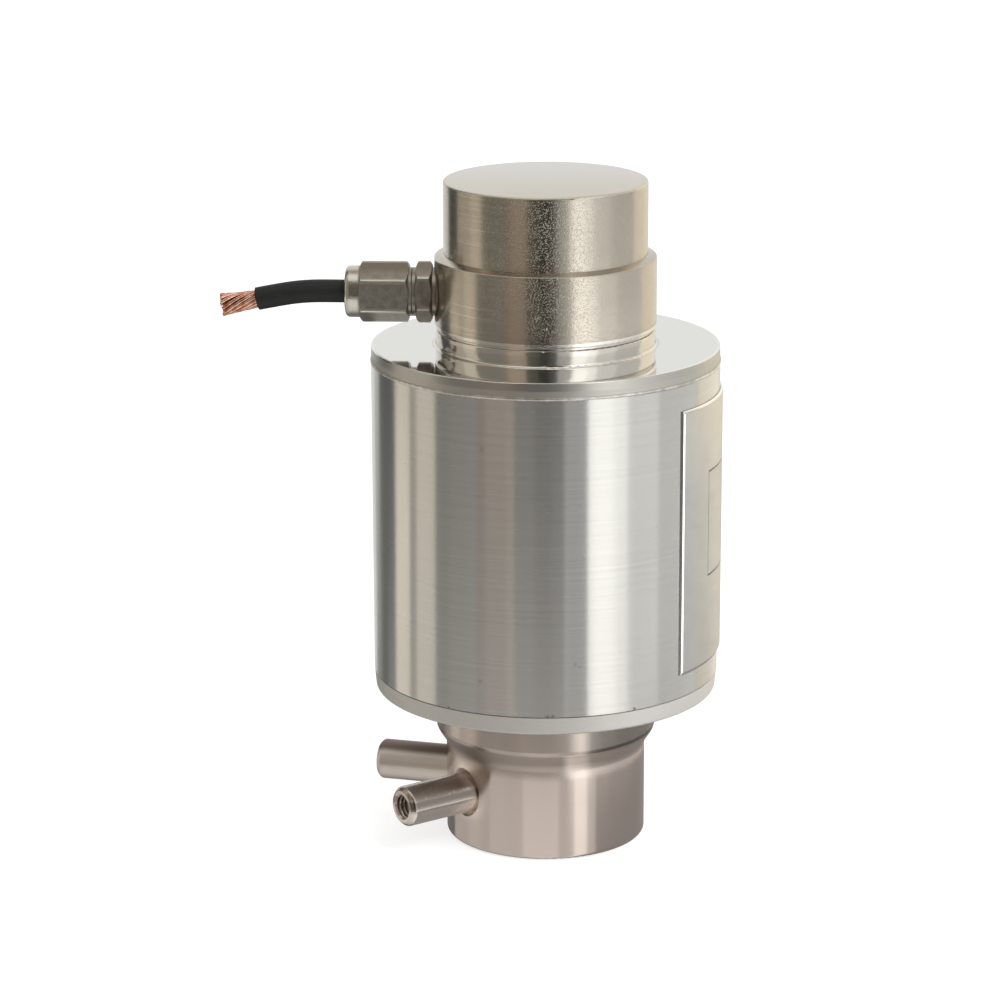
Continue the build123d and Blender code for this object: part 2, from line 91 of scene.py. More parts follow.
lens = bpy.data.cameras.new("camera")
lens.lens = LENS_MM
lens.sensor_width = SENSOR_MM
lens.clip_end = VIEW_REACH
lens.dof.use_dof = False
camera = bpy.data.objects.new("camera", lens)
azimuth = radians(CAMERA_AZIMUTH)
camera.matrix_world = (
    Matrix.Translation((CAMERA_DISTANCE * sin(azimuth), -CAMERA_DISTANCE * cos(azimuth), CAMERA_HEIGHT))
    @ turn(CAMERA_AZIMUTH + CAMERA_YAW, "Z")
    @ turn(90 - CAMERA_PITCH, "X")
    @ turn(CAMERA_ROLL, "Z")
)
bpy.context.scene.collection.objects.link(camera)
bpy.context.scene.camera = camera
bpy.context.scene.view_settings.view_transform = "Standard"
print("camera at", [round(v, 4) for v in camera.matrix_world.translation])

# %% [markdown]
# ## Faces from a grid of points
#
# Every new piece here is a grid of points, worked out for two parameters at once. Joining the points to
# faces is the same job each time, so one function does it for all. A closed surface also has to look
# outward, or its light is wrong: the volume that the faces enclose comes out negative where they look
# inward.

# %% Faces and their volume
def grid_faces(rows, columns, across_closed, along_closed, caps):
    """Faces of a grid of points. Each joins a point to the next in its row and in its column, and a closed
    direction joins its last line to its first. caps closes the first and the last row."""
    i = np.arange(rows if along_closed else rows - 1)[:, None]
    j = np.arange(columns if across_closed else columns - 1)[None, :]
    here, right = i * columns + j, i * columns + (j + 1) % columns
    under = (i + 1) % rows * columns
    corners = np.broadcast_arrays(here, right, under + (j + 1) % columns, under + j)
    faces = np.stack(corners, axis=-1).reshape(-1, 4)
    ends = [np.arange(columns)[::-1], np.arange(columns) + (rows - 1) * columns] if caps else []
    return faces, ends


def volume(points, faces, ends):
    """Volume that faces enclose, positive where they look outward: the sum of a . (b x c) / 6."""
    fans = [faces[:, [0, 1, 2]], faces[:, [0, 2, 3]]]
    fans += [np.stack([np.full(len(e) - 2, e[0]), e[1:-1], e[2:]], axis=-1) for e in ends]
    a, b, c = (points[np.concatenate(fans)[:, k]] for k in range(3))
    return np.sum(a * np.cross(b, c)) / 6


print("faces in a closed grid of 3 by 4 points:", len(grid_faces(3, 4, True, False, False)[0]))

# %% [markdown]
# ## From faces to a piece
#
# A mesh may hold several grids, such as the wires of one cable, each turned outward by itself. Its rows of
# faces are shaded smooth and its end caps flat. The object that shows the mesh stays at the origin,
# unturned, so that a pattern on its object coordinates stands where it should.

# %% Meshes and the objects that show them
def mesh_of_grids(name, grids, across_closed=True, along_closed=False, caps=True):
    """One mesh of several grids of points, each an array of shape (rows, columns, 3)."""
    points, quads, polygons, start = [], [], [], 0
    for grid in grids:
        flat = grid.reshape(-1, 3)
        faces, ends = grid_faces(*grid.shape[:2], across_closed, along_closed, caps)
        if volume(flat, faces, ends) < 0:
            faces, ends = faces[:, ::-1], [end[::-1] for end in ends]
        points.append(flat)
        quads += (faces + start).tolist()
        polygons += [(end + start).tolist() for end in ends]
        start += len(flat)
    mesh = bpy.data.meshes.new(name)
    mesh.from_pydata(np.concatenate(points), [], quads + polygons)
    mesh.polygons.foreach_set("use_smooth", np.arange(len(quads) + len(polygons)) < len(quads))
    mesh.update()
    print(name, "faces:", len(mesh.polygons))
    return mesh


def show(name, mesh, material):
    """Object at the origin that shows a mesh in one material."""
    piece = bpy.data.objects.new(name, mesh)
    mesh.materials.append(material)
    bpy.context.scene.collection.objects.link(piece)
    return piece


def turned_grid(radius, angle, height):
    """Points of a surface round the upright axis, in metres: (r cos a, r sin a, z), from millimetres."""
    return MM * np.stack(np.broadcast_arrays(radius * np.cos(angle), radius * np.sin(angle), height), axis=-1)

# %% [markdown]
# ## The cable's route
#
# The cable leaves the gland level and then sags under its own weight. Its route is a few listed points. A
# NURBS curve treats them as a rope treats the pegs that it is led past: it bends towards each one, without a
# kink. Blender turns that curve into points, which the jacket and the wires then follow.

# %% Cable route
CABLE_ROUTE = [
    (-0.0300, 0.0, 0.12475),
    (-0.0415, 0.0, 0.12475),
    (-0.0500, 0.0, 0.12482),
    (-0.0540, 0.0, 0.12461),
    (-0.0580, 0.0, 0.12407),
    (-0.0639, 0.0, 0.12289),
]


def smooth_path(name, route, steps=24):
    """Points of the smooth line that a route's points steer, read from a NURBS curve."""
    curve = bpy.data.curves.new(name, "CURVE")
    curve.dimensions = "3D"
    spline = curve.splines.new("NURBS")
    spline.points.add(len(route) - 1)
    spline.points.foreach_set("co", np.c_[np.array(route), np.ones(len(route))].ravel())
    spline.order_u = 3
    spline.use_endpoint_u = True
    spline.resolution_u = steps
    holder = bpy.data.objects.new(name, curve)
    bpy.context.scene.collection.objects.link(holder)
    bpy.context.view_layer.update()
    line = bpy.data.meshes.new_from_object(holder.evaluated_get(bpy.context.evaluated_depsgraph_get()))
    points = np.empty(len(line.vertices) * 3)
    line.vertices.foreach_get("co", points)
    bpy.data.objects.remove(holder)
    bpy.data.meshes.remove(line)
    return points.reshape(-1, 3)


def path_length(points):
    """Length of a line through points: the distances between neighbours, added up."""
    return np.linalg.norm(np.diff(points, axis=0), axis=1).sum()


cable_line = smooth_path("cable_route", CABLE_ROUTE)
cable_length = path_length(cable_line)
print("cable length in mm:", round(cable_length / MM, 2))

# %% [markdown]
# ## The cable's jacket
#
# The jacket is extruded round the cable's core, so it is a tube of rings along the route. At the cut end
# the rings turn in over a soft rim and back into a shallow recess, because a jacket is cut after its
# conductor and springs back a little. A knife never cuts quite square, so the cut line wavers by a few
# hundredths.

# %% Cable jacket
CABLE_RADIUS = 2.55 * MM
JACKET_WALL = 0.45 * MM
RIM_ROUND = 0.18 * MM
BORE_ROUND = 0.08 * MM
RECESS = 0.7 * MM
CUT_WAVER = 0.05 * MM
RING_COLUMNS = 48
JACKET_ROWS = 90


def rings_on_path(path, distance, radius, columns=RING_COLUMNS):
    """Rings round a path: point = P(s) + r * (side * cos a + up * sin a). distance s and radius r have one
    row per ring and may differ round it; past the path's end the line goes straight on."""
    steps = np.linalg.norm(np.diff(path, axis=0), axis=1)
    along = np.concatenate([[0.0], np.cumsum(steps)])
    tangents = np.gradient(path, along, axis=0)
    angle = np.linspace(0, 2 * pi, columns, endpoint=False)
    s = np.broadcast_to(distance, (len(distance), columns))
    inside = np.clip(s, 0, along[-1])
    centre = np.stack([np.interp(inside, along, path[:, k]) for k in range(3)], axis=-1)
    tangent = np.stack([np.interp(inside, along, tangents[:, k]) for k in range(3)], axis=-1)
    centre = centre + tangent * (s - inside)[..., None]
    side = np.array([0.0, 1.0, 0.0])
    up = np.cross(side, tangent)
    out = side * np.cos(angle)[:, None] + up * np.sin(angle)[:, None]
    return centre + np.broadcast_to(radius, s.shape)[..., None] * out


def wander(angle, strength, seed, waves=5):
    """Smooth closed wobble round a ring: a sum of sines of whole frequencies with random phases."""
    phase = np.random.default_rng(seed).uniform(0, 2 * pi, waves)
    frequency = np.arange(1, waves + 1)
    return strength * np.sum(np.sin(angle[..., None] * frequency + phase) / frequency, axis=-1)


ring_angle = np.linspace(0, 2 * pi, RING_COLUMNS, endpoint=False)
cut_line = cable_length + wander(ring_angle, CUT_WAVER, 3)
bore_radius = CABLE_RADIUS - JACKET_WALL
rim = [
    (-RIM_ROUND, CABLE_RADIUS),
    (-0.3 * RIM_ROUND, CABLE_RADIUS - 0.2 * RIM_ROUND),
    (0.0, CABLE_RADIUS - RIM_ROUND),
    (0.0, bore_radius + BORE_ROUND),
    (-BORE_ROUND, bore_radius),
    (-RECESS, bore_radius),
]
body_stations = np.linspace(0, 1, JACKET_ROWS)[:, None] * (cut_line - 2 * RIM_ROUND)
rim_stations = np.array([cut_line + step for step, _ in rim])
jacket_distance = np.concatenate([body_stations, rim_stations])
jacket_radius = np.concatenate([np.full(JACKET_ROWS, CABLE_RADIUS), [radius for _, radius in rim]])[:, None]
jacket_mesh = mesh_of_grids("cable_jacket_tube", [rings_on_path(cable_line, jacket_distance, jacket_radius)])

# %% [markdown]
# ## The bare conductor
#
# The conductor is stranded: one wire, six round it and twelve round those, all laid in the same turn. Once
# the jacket is off, the lay loosens and the wires fan out. Each wire is a helix whose distance from the
# middle grows towards its tip, and small random shares keep any two wires from matching.

# %% Copper strands
WIRE_RADIUS = 0.42 * MM
WIRE_ROWS, WIRE_SIDES = 26, 12
BARE_LENGTH = 8.0 * MM
LAY_TURN = radians(100)
RING_COUNTS = (1, 6, 12)
RING_ROOTS = (0.0, 0.82 * MM, 1.64 * MM)
RING_TIPS = (0.10 * MM, 1.00 * MM, 2.05 * MM)
TIP_SHARES, LENGTH_SHARES = (0.95, 1.05), (0.96, 1.02)
ANGLE_SPREAD = 0.05
SPLAY_UP = 0.45 * MM
SPLAY_POWER = 1.3

random = np.random.default_rng(11)
share = np.linspace(-0.12, 1.0, WIRE_ROWS)
bare_share = np.clip(share, 0, 1)
sideways = np.array([0.0, 1.0, 0.0])
upright = np.array([0.0, 0.0, 1.0])


def wire_line(first_angle, root, tip):
    """Middle line of one wire: point = M + r * (side * cos a + up * sin a) + lift. r grows from root to tip,
    a turns by the lay, and lift bends the upper wires up. It starts a little inside the jacket."""
    spread = root + (tip * random.uniform(*TIP_SHARES) - root) * bare_share ** SPLAY_POWER
    angle = first_angle + random.normal(0, ANGLE_SPREAD) + LAY_TURN * share
    run = share * BARE_LENGTH * random.uniform(*LENGTH_SHARES)
    lift = SPLAY_UP * bare_share ** 2 * np.clip(np.sin(first_angle + LAY_TURN), 0, 1)
    middle = rings_on_path(cable_line, (cable_length + run)[:, None], np.zeros((WIRE_ROWS, 1)), 1)[:, 0]
    tangent = (middle[-1] - middle[0]) / np.linalg.norm(middle[-1] - middle[0])
    up = np.cross(sideways, tangent)
    around = np.cos(angle)[:, None] * sideways + np.sin(angle)[:, None] * up
    return middle + spread[:, None] * around + lift[:, None] * upright


def wire_grid(line):
    """Rings of one wire, evenly spaced along its middle line."""
    distance = np.linspace(0, path_length(line), WIRE_ROWS)[:, None]
    return rings_on_path(line, distance, np.full((WIRE_ROWS, 1), WIRE_RADIUS), WIRE_SIDES)


strand_grids = [
    wire_grid(wire_line(first_angle, root, tip))
    for count, root, tip in zip(RING_COUNTS, RING_ROOTS, RING_TIPS)
    for first_angle in np.arange(count) * 2 * pi / count
]
print("wires:", len(strand_grids))
strand_mesh = mesh_of_grids("copper_strands", strand_grids)

# %% [markdown]
# ## The core wrap at the cut
#
# Between the wires and the jacket lies a thin brown wrap, torn off by hand, so a ragged edge of it looks
# out of the jacket. It is one more tube on the same route, with a thin wall and an end that wavers more
# than the cut.

# %% Core liner
LINER_OUTER, LINER_INNER = 2.05 * MM, 1.9 * MM
LINER_REACH = 0.15 * MM
LINER_WAVER = 0.09 * MM
LINER_OVERLAP = 0.3 * MM
EDGE_LENGTH, EDGE_ROUND = 0.1 * MM, 0.05 * MM

liner_end = cable_length + LINER_REACH + wander(ring_angle, LINER_WAVER, 8, 9)
liner_rows = [
    (cut_line - RECESS - LINER_OVERLAP, LINER_OUTER),
    (liner_end - EDGE_LENGTH, LINER_OUTER),
    (liner_end, LINER_OUTER - EDGE_ROUND),
    (liner_end, LINER_INNER + EDGE_ROUND),
    (liner_end - EDGE_LENGTH, LINER_INNER),
    (cut_line - RECESS, LINER_INNER),
]
liner_distance = np.stack([distance for distance, _ in liner_rows])
liner_radius = np.array([radius for _, radius in liner_rows])
liner_mesh = mesh_of_grids("core_liner", [rings_on_path(cable_line, liner_distance, liner_radius[:, None])])

# %% [markdown]
# ## The nameplate
#
# The nameplate is a thin steel strip rolled to the housing's curve and glued on. The real one is engraved;
# this one carries only a plain ruled frame, cut by a small V-shaped tool. The plate is one closed profile,
# from its lower edge round to its back, carried round the column, and the groove is a dip in its outer
# face. A bump map would be cheaper, but from the side such a groove has no depth.

# %% Sizes of the nameplate
plate_box_low, plate_box_high = box_mm("nameplate")
PLATE_FACE = plate_box_high[0]
PLATE_THICKNESS = 0.60
PLATE_BACK = round(PLATE_FACE - PLATE_THICKNESS, 2)
PLATE_LOW, PLATE_HIGH = plate_box_low[2], plate_box_high[2]
PLATE_HALF_ANGLE = 38.75
PLATE_COLUMNS, PLATE_ROWS = 90, 60
CHAMFER_WIDTH = 0.60
CHAMFER_DROP = 0.30
FRAME_LOW, FRAME_HIGH = 64.6, 88.3
FRAME_START, FRAME_END = -22.5, 28.0
GROOVE_WIDTH = 0.42
GROOVE_DEPTH = 0.16
degree = radians(1) * PLATE_FACE
print("plate from", PLATE_LOW, "to", PLATE_HIGH, "mm, and one degree is", round(degree, 3), "mm wide")

# %% Dips in the plate's face
def groove_depth(across, upward):
    """Depth of the ruled frame at a place on the plate, in millimetres: a V along the frame's line."""
    off_x = np.abs(across - (FRAME_START + FRAME_END) / 2 * degree) - (FRAME_END - FRAME_START) / 2 * degree
    off_z = np.abs(upward - (FRAME_LOW + FRAME_HIGH) / 2) - (FRAME_HIGH - FRAME_LOW) / 2
    outside = np.hypot(np.maximum(off_x, 0), np.maximum(off_z, 0))
    distance = np.abs(outside + np.minimum(np.maximum(off_x, off_z), 0))
    return GROOVE_DEPTH * np.clip(1 - distance / (GROOVE_WIDTH / 2), 0, 1)


def chamfer(room):
    """How far the sloping edge lies below the face: D * (1 - room / W), and never less than 0."""
    return CHAMFER_DROP * np.clip(1 - room / CHAMFER_WIDTH, 0, 1)


print("groove depth at a corner of the frame:", groove_depth(FRAME_START * degree, FRAME_LOW), "mm")

# %% Engraved nameplate
def spaced(start, end, count, marks, reach):
    """Values from start to end, with extra ones close to each mark, so that a fine edge keeps its shape."""
    extra = [mark + reach * np.array([-1.6, -1.0, -0.5, 0.0, 0.5, 1.0, 1.6]) for mark in marks]
    return np.unique(np.clip(np.concatenate([np.linspace(start, end, count), *extra]), start, end))


half_width = PLATE_HALF_ANGLE * degree
chamfer_steps = CHAMFER_WIDTH * np.array([0.0, 0.5, 0.98, 1.0, 1.1])
frame_sides = [FRAME_START * degree, FRAME_END * degree]
across = spaced(-half_width, half_width, PLATE_COLUMNS, frame_sides, GROOVE_WIDTH / 2)
across = np.unique(np.r_[across, chamfer_steps - half_width, half_width - chamfer_steps])[:, None]
upward = spaced(PLATE_LOW, PLATE_HIGH, PLATE_ROWS, [FRAME_LOW, FRAME_HIGH], GROOVE_WIDTH / 2)
upward = np.unique(np.r_[upward, PLATE_LOW + chamfer_steps, PLATE_HIGH - chamfer_steps])[None, :]
side_room = half_width - np.abs(across)
end_room = (PLATE_HIGH - PLATE_LOW) / 2 - np.abs(upward - (PLATE_LOW + PLATE_HIGH) / 2)
face = PLATE_FACE - np.maximum(chamfer(side_room), chamfer(end_room)) - groove_depth(across, upward)
back = np.full((len(across), 1), PLATE_BACK)
plate_radius = np.concatenate([back, face, back], axis=1)
plate_height = np.concatenate([[[PLATE_LOW]], upward, [[PLATE_HIGH]]], axis=1)
plate_grid = turned_grid(plate_radius, across / PLATE_FACE, plate_height)
plate_mesh = mesh_of_grids("nameplate_ruled", [plate_grid])

# %% [markdown]
# ## The weld bead
#
# A fine seam joins the housing's tube to its top cover. A welder's torch leaves a row of small frozen
# waves, so the bead is a flat ring whose width and height waver as it goes round. A plain torus would look
# like a wire laid in the gap.

# %% Weld bead
HOUSING_RADIUS = box_mm("housing_sleeve")[1][0]
SEAM_HEIGHT = box_mm("housing_sleeve")[1][2]
BEAD_HALF_WIDTH = 0.32
BEAD_PROUD = 0.11
BEAD_SUNK = 0.12
BEAD_WAVES = 200
BEAD_ROWS, BEAD_SIDES = 1080, 12

round_angle = np.linspace(0, 2 * pi, BEAD_ROWS, endpoint=False)[:, None]
bead_angle = np.linspace(0, 2 * pi, BEAD_SIDES, endpoint=False)[None, :]
ripple = np.sin(round_angle * BEAD_WAVES + wander(round_angle, 2.0, 5, 9))
wave = 1 + 0.10 * ripple + wander(round_angle, 0.08, 6, 40)
rise = np.where(np.cos(bead_angle) > 0, BEAD_PROUD * wave, BEAD_SUNK)
bead_radius = HOUSING_RADIUS + rise * np.cos(bead_angle)
bead_height = SEAM_HEIGHT + wander(round_angle, 0.03, 7, 30) + BEAD_HALF_WIDTH * wave * np.sin(bead_angle)
bead_grid = turned_grid(bead_radius, round_angle, bead_height)
bead_mesh = mesh_of_grids("seam_bead", [bead_grid], along_closed=True, caps=False)

# %% [markdown]
# ## Threads in the pins
#
# Each pin has a tapped hole, so that a screw can draw it out. A tap cuts one long groove, and what stays
# between its turns is a ridge with a triangular section, wound along the hole as a helix. Only the ridge is
# made here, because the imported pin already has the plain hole.

# %% Thread ridges
PIN_REACH = 39.3
PIN_HEIGHT = (box_mm("anti_rotation_pin_front")[0][2] + box_mm("anti_rotation_pin_front")[1][2]) / 2
PIN_ANGLES = {"front": 217.5, "rear": 167.5}
THREAD_RADIUS = 2.52
THREAD_DEPTH = 0.34
THREAD_PITCH = 1.0
THREAD_TURNS = 8
THREAD_START = 0.75
THREAD_PROFILE = np.array([(0.0, -0.44), (-1.0, -0.07), (-1.0, 0.07), (0.0, 0.44)])
POINTS_PER_TURN = 48

turns = np.linspace(0, THREAD_TURNS, THREAD_TURNS * POINTS_PER_TURN)[:, None]
fade = np.clip(np.minimum(turns, THREAD_TURNS - turns) * 3, 0.02, 1)
ridge_radius = THREAD_RADIUS + THREAD_PROFILE[:, 0] * THREAD_DEPTH * fade
ridge_depth = PIN_REACH - THREAD_START - THREAD_PITCH * (turns + THREAD_PROFILE[:, 1])
turn_angle = -2 * pi * turns


def thread_grid(pin_angle):
    """Points of the ridge: outward along the pin by its depth, and round its axis at the ridge's radius."""
    outward = np.array([cos(radians(pin_angle)), sin(radians(pin_angle)), 0.0])
    beside = np.array([-outward[1], outward[0], 0.0])
    return MM * (
        outward * ridge_depth[..., None]
        + beside * (ridge_radius * np.cos(turn_angle))[..., None]
        + upright * (ridge_radius * np.sin(turn_angle) + PIN_HEIGHT)[..., None]
    )


thread_meshes = {side: mesh_of_grids(f"thread_{side}", [thread_grid(a)]) for side, a in PIN_ANGLES.items()}

# %% [markdown]
# ## Shader maths
#
# A finish is a small network of nodes. Written node by node it is hard to read, so one class wraps a socket
# and overloads the arithmetic operators: `1 - mask * 0.5` then adds the Math nodes by itself.

# %% A socket that can be calculated with
class Wire:
    """An output socket of a material. Arithmetic on it adds Math nodes."""

    def __init__(self, finish, socket):
        self.finish = finish
        self.socket = socket

    def math(self, operation, *others, first=None):
        """Math node of one operation, with this wire as its first value unless first is given."""
        values = [self if first is None else first, *others]
        return self.finish.node("Math", {"operation": operation}, dict(enumerate(values)))

    def __add__(self, other):
        return self.math("ADD", other)

    __radd__ = __add__

    def __mul__(self, other):
        return self.math("MULTIPLY", other)

    __rmul__ = __mul__

    def __sub__(self, other):
        return self.math("SUBTRACT", other)

    def __rsub__(self, other):
        return self.math("SUBTRACT", self, first=other)

    def __pow__(self, other):
        return self.math("POWER", other)

    def step(self, low, high):
        """0 below low, 1 above high, and a smooth rise between them."""
        limits = {"Value": self, "From Min": low, "From Max": high}
        return self.finish.node("MapRange", {"interpolation_type": "SMOOTHSTEP"}, limits)

    def band(self, low, high, soft):
        """1 between two values and 0 outside, with soft edges."""
        return self.step(low - soft, low + soft) * (1 - self.step(high - soft, high + soft))

# %% [markdown]
# ## A finish under construction
#
# The second class holds one material and adds its nodes. It has a few methods for what metal needs most:
# clouds of noise, noise drawn out to lines, rings like those of a facing cut, and small spots for pits and
# stains.

# %% A finish
def colour(value):
    """Three numbers as a colour with full alpha; anything else as it is."""
    return (*value, 1.0) if isinstance(value, tuple) and len(value) == 3 else value


class Finish:
    """A material under construction."""

    def __init__(self, name):
        self.name = name
        self.material = bpy.data.materials.new(name)
        self.material.use_nodes = True
        self.tree = self.material.node_tree
        self.tree.nodes.clear()

    def node(self, kind, settings=None, inputs=None, output=0):
        """Any node: its type, its settings, which are set first, and the values or wires of its sockets. It
        gives the wire of one output, or a list of wires where output is a tuple."""
        node = self.tree.nodes.new("ShaderNode" + kind)
        for key, value in (settings or {}).items():
            setattr(node, key, value)
        for key, value in (inputs or {}).items():
            if isinstance(value, Wire):
                self.tree.links.new(value.socket, node.inputs[key])
            else:
                node.inputs[key].default_value = value
        if isinstance(output, tuple):
            return [Wire(self, node.outputs[key]) for key in output]
        return Wire(self, node.outputs[output])

    def vector(self, operation, *values, output=0):
        """Vector Math node."""
        return self.node("VectorMath", {"operation": operation}, dict(enumerate(values)), output)

    @cached_property
    def place(self):
        """Object coordinates in millimetres, made once for all the patterns of a finish."""
        coordinates = self.node("TexCoord", output="Object")
        return self.node("VectorMath", {"operation": "SCALE"}, {0: coordinates, "Scale": 1 / MM})

    def split(self):
        """The three numbers of the place."""
        return self.node("SeparateXYZ", None, {0: self.place}, (0, 1, 2))

    def noise(self, scale, detail=2.0, roughness=0.5, at=None):
        """Noise from 0 to 1, at the place unless another vector is given."""
        vector = self.place if at is None else at
        inputs = {"Vector": vector, "Scale": scale, "Detail": detail, "Roughness": roughness}
        return self.node("TexNoise", None, inputs)

    def drawn_noise(self, scales, detail=2.0, roughness=0.5):
        """Noise with one scale per direction, drawn out to lines where its scale is small."""
        return self.noise(1.0, detail, roughness, self.vector("MULTIPLY", self.place, scales))

    def facing_rings(self, radius, scale):
        """Noise that changes only with the distance from the axis, as the marks of a facing cut do."""
        return self.noise(scale, at=self.node("CombineXYZ", None, {0: radius, 1: 0.0, 2: 0.0}))

    def spot(self, azimuth, radius, height, size):
        """1 inside a small round spot on a turned surface and 0 outside, with a soft edge. The azimuth is
        counted in degrees from the camera's side towards +X, and the rest is in millimetres."""
        middle = (radius * sin(radians(azimuth)), -radius * cos(radians(azimuth)), height)
        away = self.vector("DISTANCE", self.place, middle, output="Value")
        return 1 - away.step(0.5 * size, size)

    def spots(self, radius, rows):
        """Several spots at one radius, each given by its azimuth, height and size, added up."""
        masks = [self.spot(azimuth, radius, height, size) for azimuth, height, size in rows]
        return sum(masks[1:], masks[0])

    def mix(self, factor, first, second):
        """Blend of two colours."""
        return self.node(
            "Mix", {"data_type": "RGBA"}, {"Factor": factor, 6: colour(first), 7: colour(second)}, output=2
        )

    def bump(self, height, depth):
        """Normal that a height gives. The height is from 0 to 1 and depth is in millimetres."""
        return self.node("Bump", None, {"Height": height, "Strength": 1.0, "Distance": depth * MM})

    def surface(self, **inputs):
        """Principled surface, from keyword inputs such as base_color, kept in finishes by its name."""
        named = {key.replace("_", " ").title().replace("Ior", "IOR"): value for key, value in inputs.items()}
        shader = self.node("BsdfPrincipled", None, {key: colour(v) for key, v in named.items()})
        self.node("OutputMaterial", None, {"Surface": shader}, output=())
        finishes[self.name] = self.material
        print(self.name, "nodes:", len(self.tree.nodes))
        return self.material

    def metal(self, tint, rough, relief, **more):
        """Metal surface with a tint, a roughness and the normal of a bump."""
        return self.surface(base_color=tint, metallic=1.0, roughness=rough, normal=relief, **more)


finishes = {}

# %% [markdown]
# ## The column's steel: its zones
#
# The column is one bar of alloy steel, but it was worked in several ways. Boss and collar are nickel
# plated, the base is ground, the neck is polished, and the top face was faced on a lathe. Separate
# materials would need a mesh that is cut along the zones, and this one is fixed, so one finish tells its
# zones apart by height instead. Sizes are in millimetres, and a pair gives where a zone starts and is
# complete, or its two ends.

# %% Zones of the column
COVER_FACE = box_mm("top_cover")[1][2]
BOSS_TOP = box_mm("column_body")[1][2]
BASE_END = 36.0, 38.5
FLARE = 18.0, 23.0
EDGE_LINE = 24.5, 24.9
EDGE_STRIP = 24.8, 25.4
NECK = 113.3, 117.75
COLLAR_LIP = 117.75, 118.5
TOP_FACE = BOSS_TOP - 0.65, BOSS_TOP - 0.25
GRAINY_SIDE = -14, -3
PIN_ROOT = -50.0, 22.5, 14.5, 9.0

f = Finish("column_steel")
x, y, z = f.split()
base = 1 - z.step(*BASE_END)
neck = z.band(*NECK, 0.12)
top = z.step(*TOP_FACE)
plain = 1 - base - neck - top
grainy = x.step(*GRAINY_SIDE)
lip = z.band(*COLLAR_LIP, 0.08)
flare = z.step(*FLARE) * base
strip = z.step(*EDGE_STRIP) * base
edge_line = z.band(*EDGE_LINE, 0.15) * base
root = f.spot(*PIN_ROOT) * base
print("cover face at", COVER_FACE, "mm and boss top at", BOSS_TOP, "mm")

# %% [markdown]
# ## The column's steel: its tints
#
# Nickel is a warm grey and ground steel a pinkish one. Turning leaves paler traces round the boss. The rest
# is painted light: a painted reflection round the front pin's root, painted shade over the flare with one
# painted bright streak, painted shade on the strip under the housing with a thin dark line at its foot, a
# painted highlight on the collar's lip, and a painted reflection across the top face. Each is a mix over the
# one before, as thin coats of paint are.

# %% Tints of the column
NICKEL = (0.52, 0.475, 0.405), (0.60, 0.55, 0.48)
GROUND = (0.60, 0.525, 0.475), (0.66, 0.58, 0.53)
TRACE_TINT = (0.86, 0.82, 0.74)
ROOT_PAINTED_REFLECTION = (0.98, 0.88, 0.81)
FLARE_PAINTED_SHADE_AND_STREAK = (0.46, 0.40, 0.36), (0.95, 0.85, 0.78)
STRIP_PAINTED_SHADE = (0.48, 0.42, 0.38), (0.22, 0.20, 0.18)
EDGE_LINE_PAINTED_SHADE = (0.40, 0.34, 0.30)
NECK_TINT = (0.80, 0.765, 0.71)
LIP_PAINTED_HIGHLIGHT = (0.92, 0.90, 0.85)
TOP_FACE_PAINTED_REFLECTION = (0.78, 0.77, 0.75), (0.68, 0.635, 0.54)
PAINTED_STREAK_START, PAINTED_STREAK_END = (4.0, 6.5), (9.0, 11.5)
STRIP_SHADE = 8.5, 11.5
TOP_SHADE = -24, 26

cloud = f.noise(0.10, 3.0)
turning = f.drawn_noise((0.03, 0.03, 3.0), 3.0, 0.6)
traces = turning.step(0.52, 0.72) * (1 - grainy) * plain
plated = f.mix(traces * 0.33, f.mix(cloud, *NICKEL), TRACE_TINT)
# Painted highlight: a bright streak across the flare, between two distances along X.
painted_streak = x.step(*PAINTED_STREAK_START) * (1 - 0.75 * x.step(*PAINTED_STREAK_END))
tint = f.mix(base, plated, f.mix(cloud, *GROUND))
# Painted reflection: a pale spot round the front pin's root, where the base mirrors the pin.
tint = f.mix(root * 0.7, tint, ROOT_PAINTED_REFLECTION)
# Painted shade darkens the flare, and the painted highlight streak lightens part of it.
tint = f.mix(flare, tint, f.mix(painted_streak, *FLARE_PAINTED_SHADE_AND_STREAK))
# Painted shade on the strip under the housing, darker still towards +X.
tint = f.mix(strip, tint, f.mix(x.step(*STRIP_SHADE), *STRIP_PAINTED_SHADE))
# Painted shade: a thin dark line at the strip's lower edge.
tint = f.mix(edge_line * 0.4, tint, EDGE_LINE_PAINTED_SHADE)
tint = f.mix(neck, tint, NECK_TINT)
# Painted highlight on the collar's lower lip.
tint = f.mix(lip, tint, LIP_PAINTED_HIGHLIGHT)
# Painted reflection on the top face: pale at the back, beige at the front.
tint = f.mix(top, tint, f.mix((0 - y).step(*TOP_SHADE), *TOP_FACE_PAINTED_REFLECTION))
print("brightness of ground steel against nickel:", round(sum(GROUND[0]) / sum(NICKEL[0]), 2))

# %% [markdown]
# ## The column's steel: its grain
#
# The plating has a fine sparkling grain on the side that was blasted, a few pits, and a polished neck that
# bulges a little, as half a sine, between its grooves. All of that is height, which a Bump node turns into
# a tilt of the surface. It costs no faces, and the outline would not show it anyway.

# %% Grain of the column
BOSS_PIT = -22.5, 22.9, 134.0, 0.5
COLLAR_SKIN = 24.7
COLLAR_PITS = [(-2.5, 124.5, 0.5), (2.0, 122.0, 0.45), (61.0, 129.0, 0.6)]

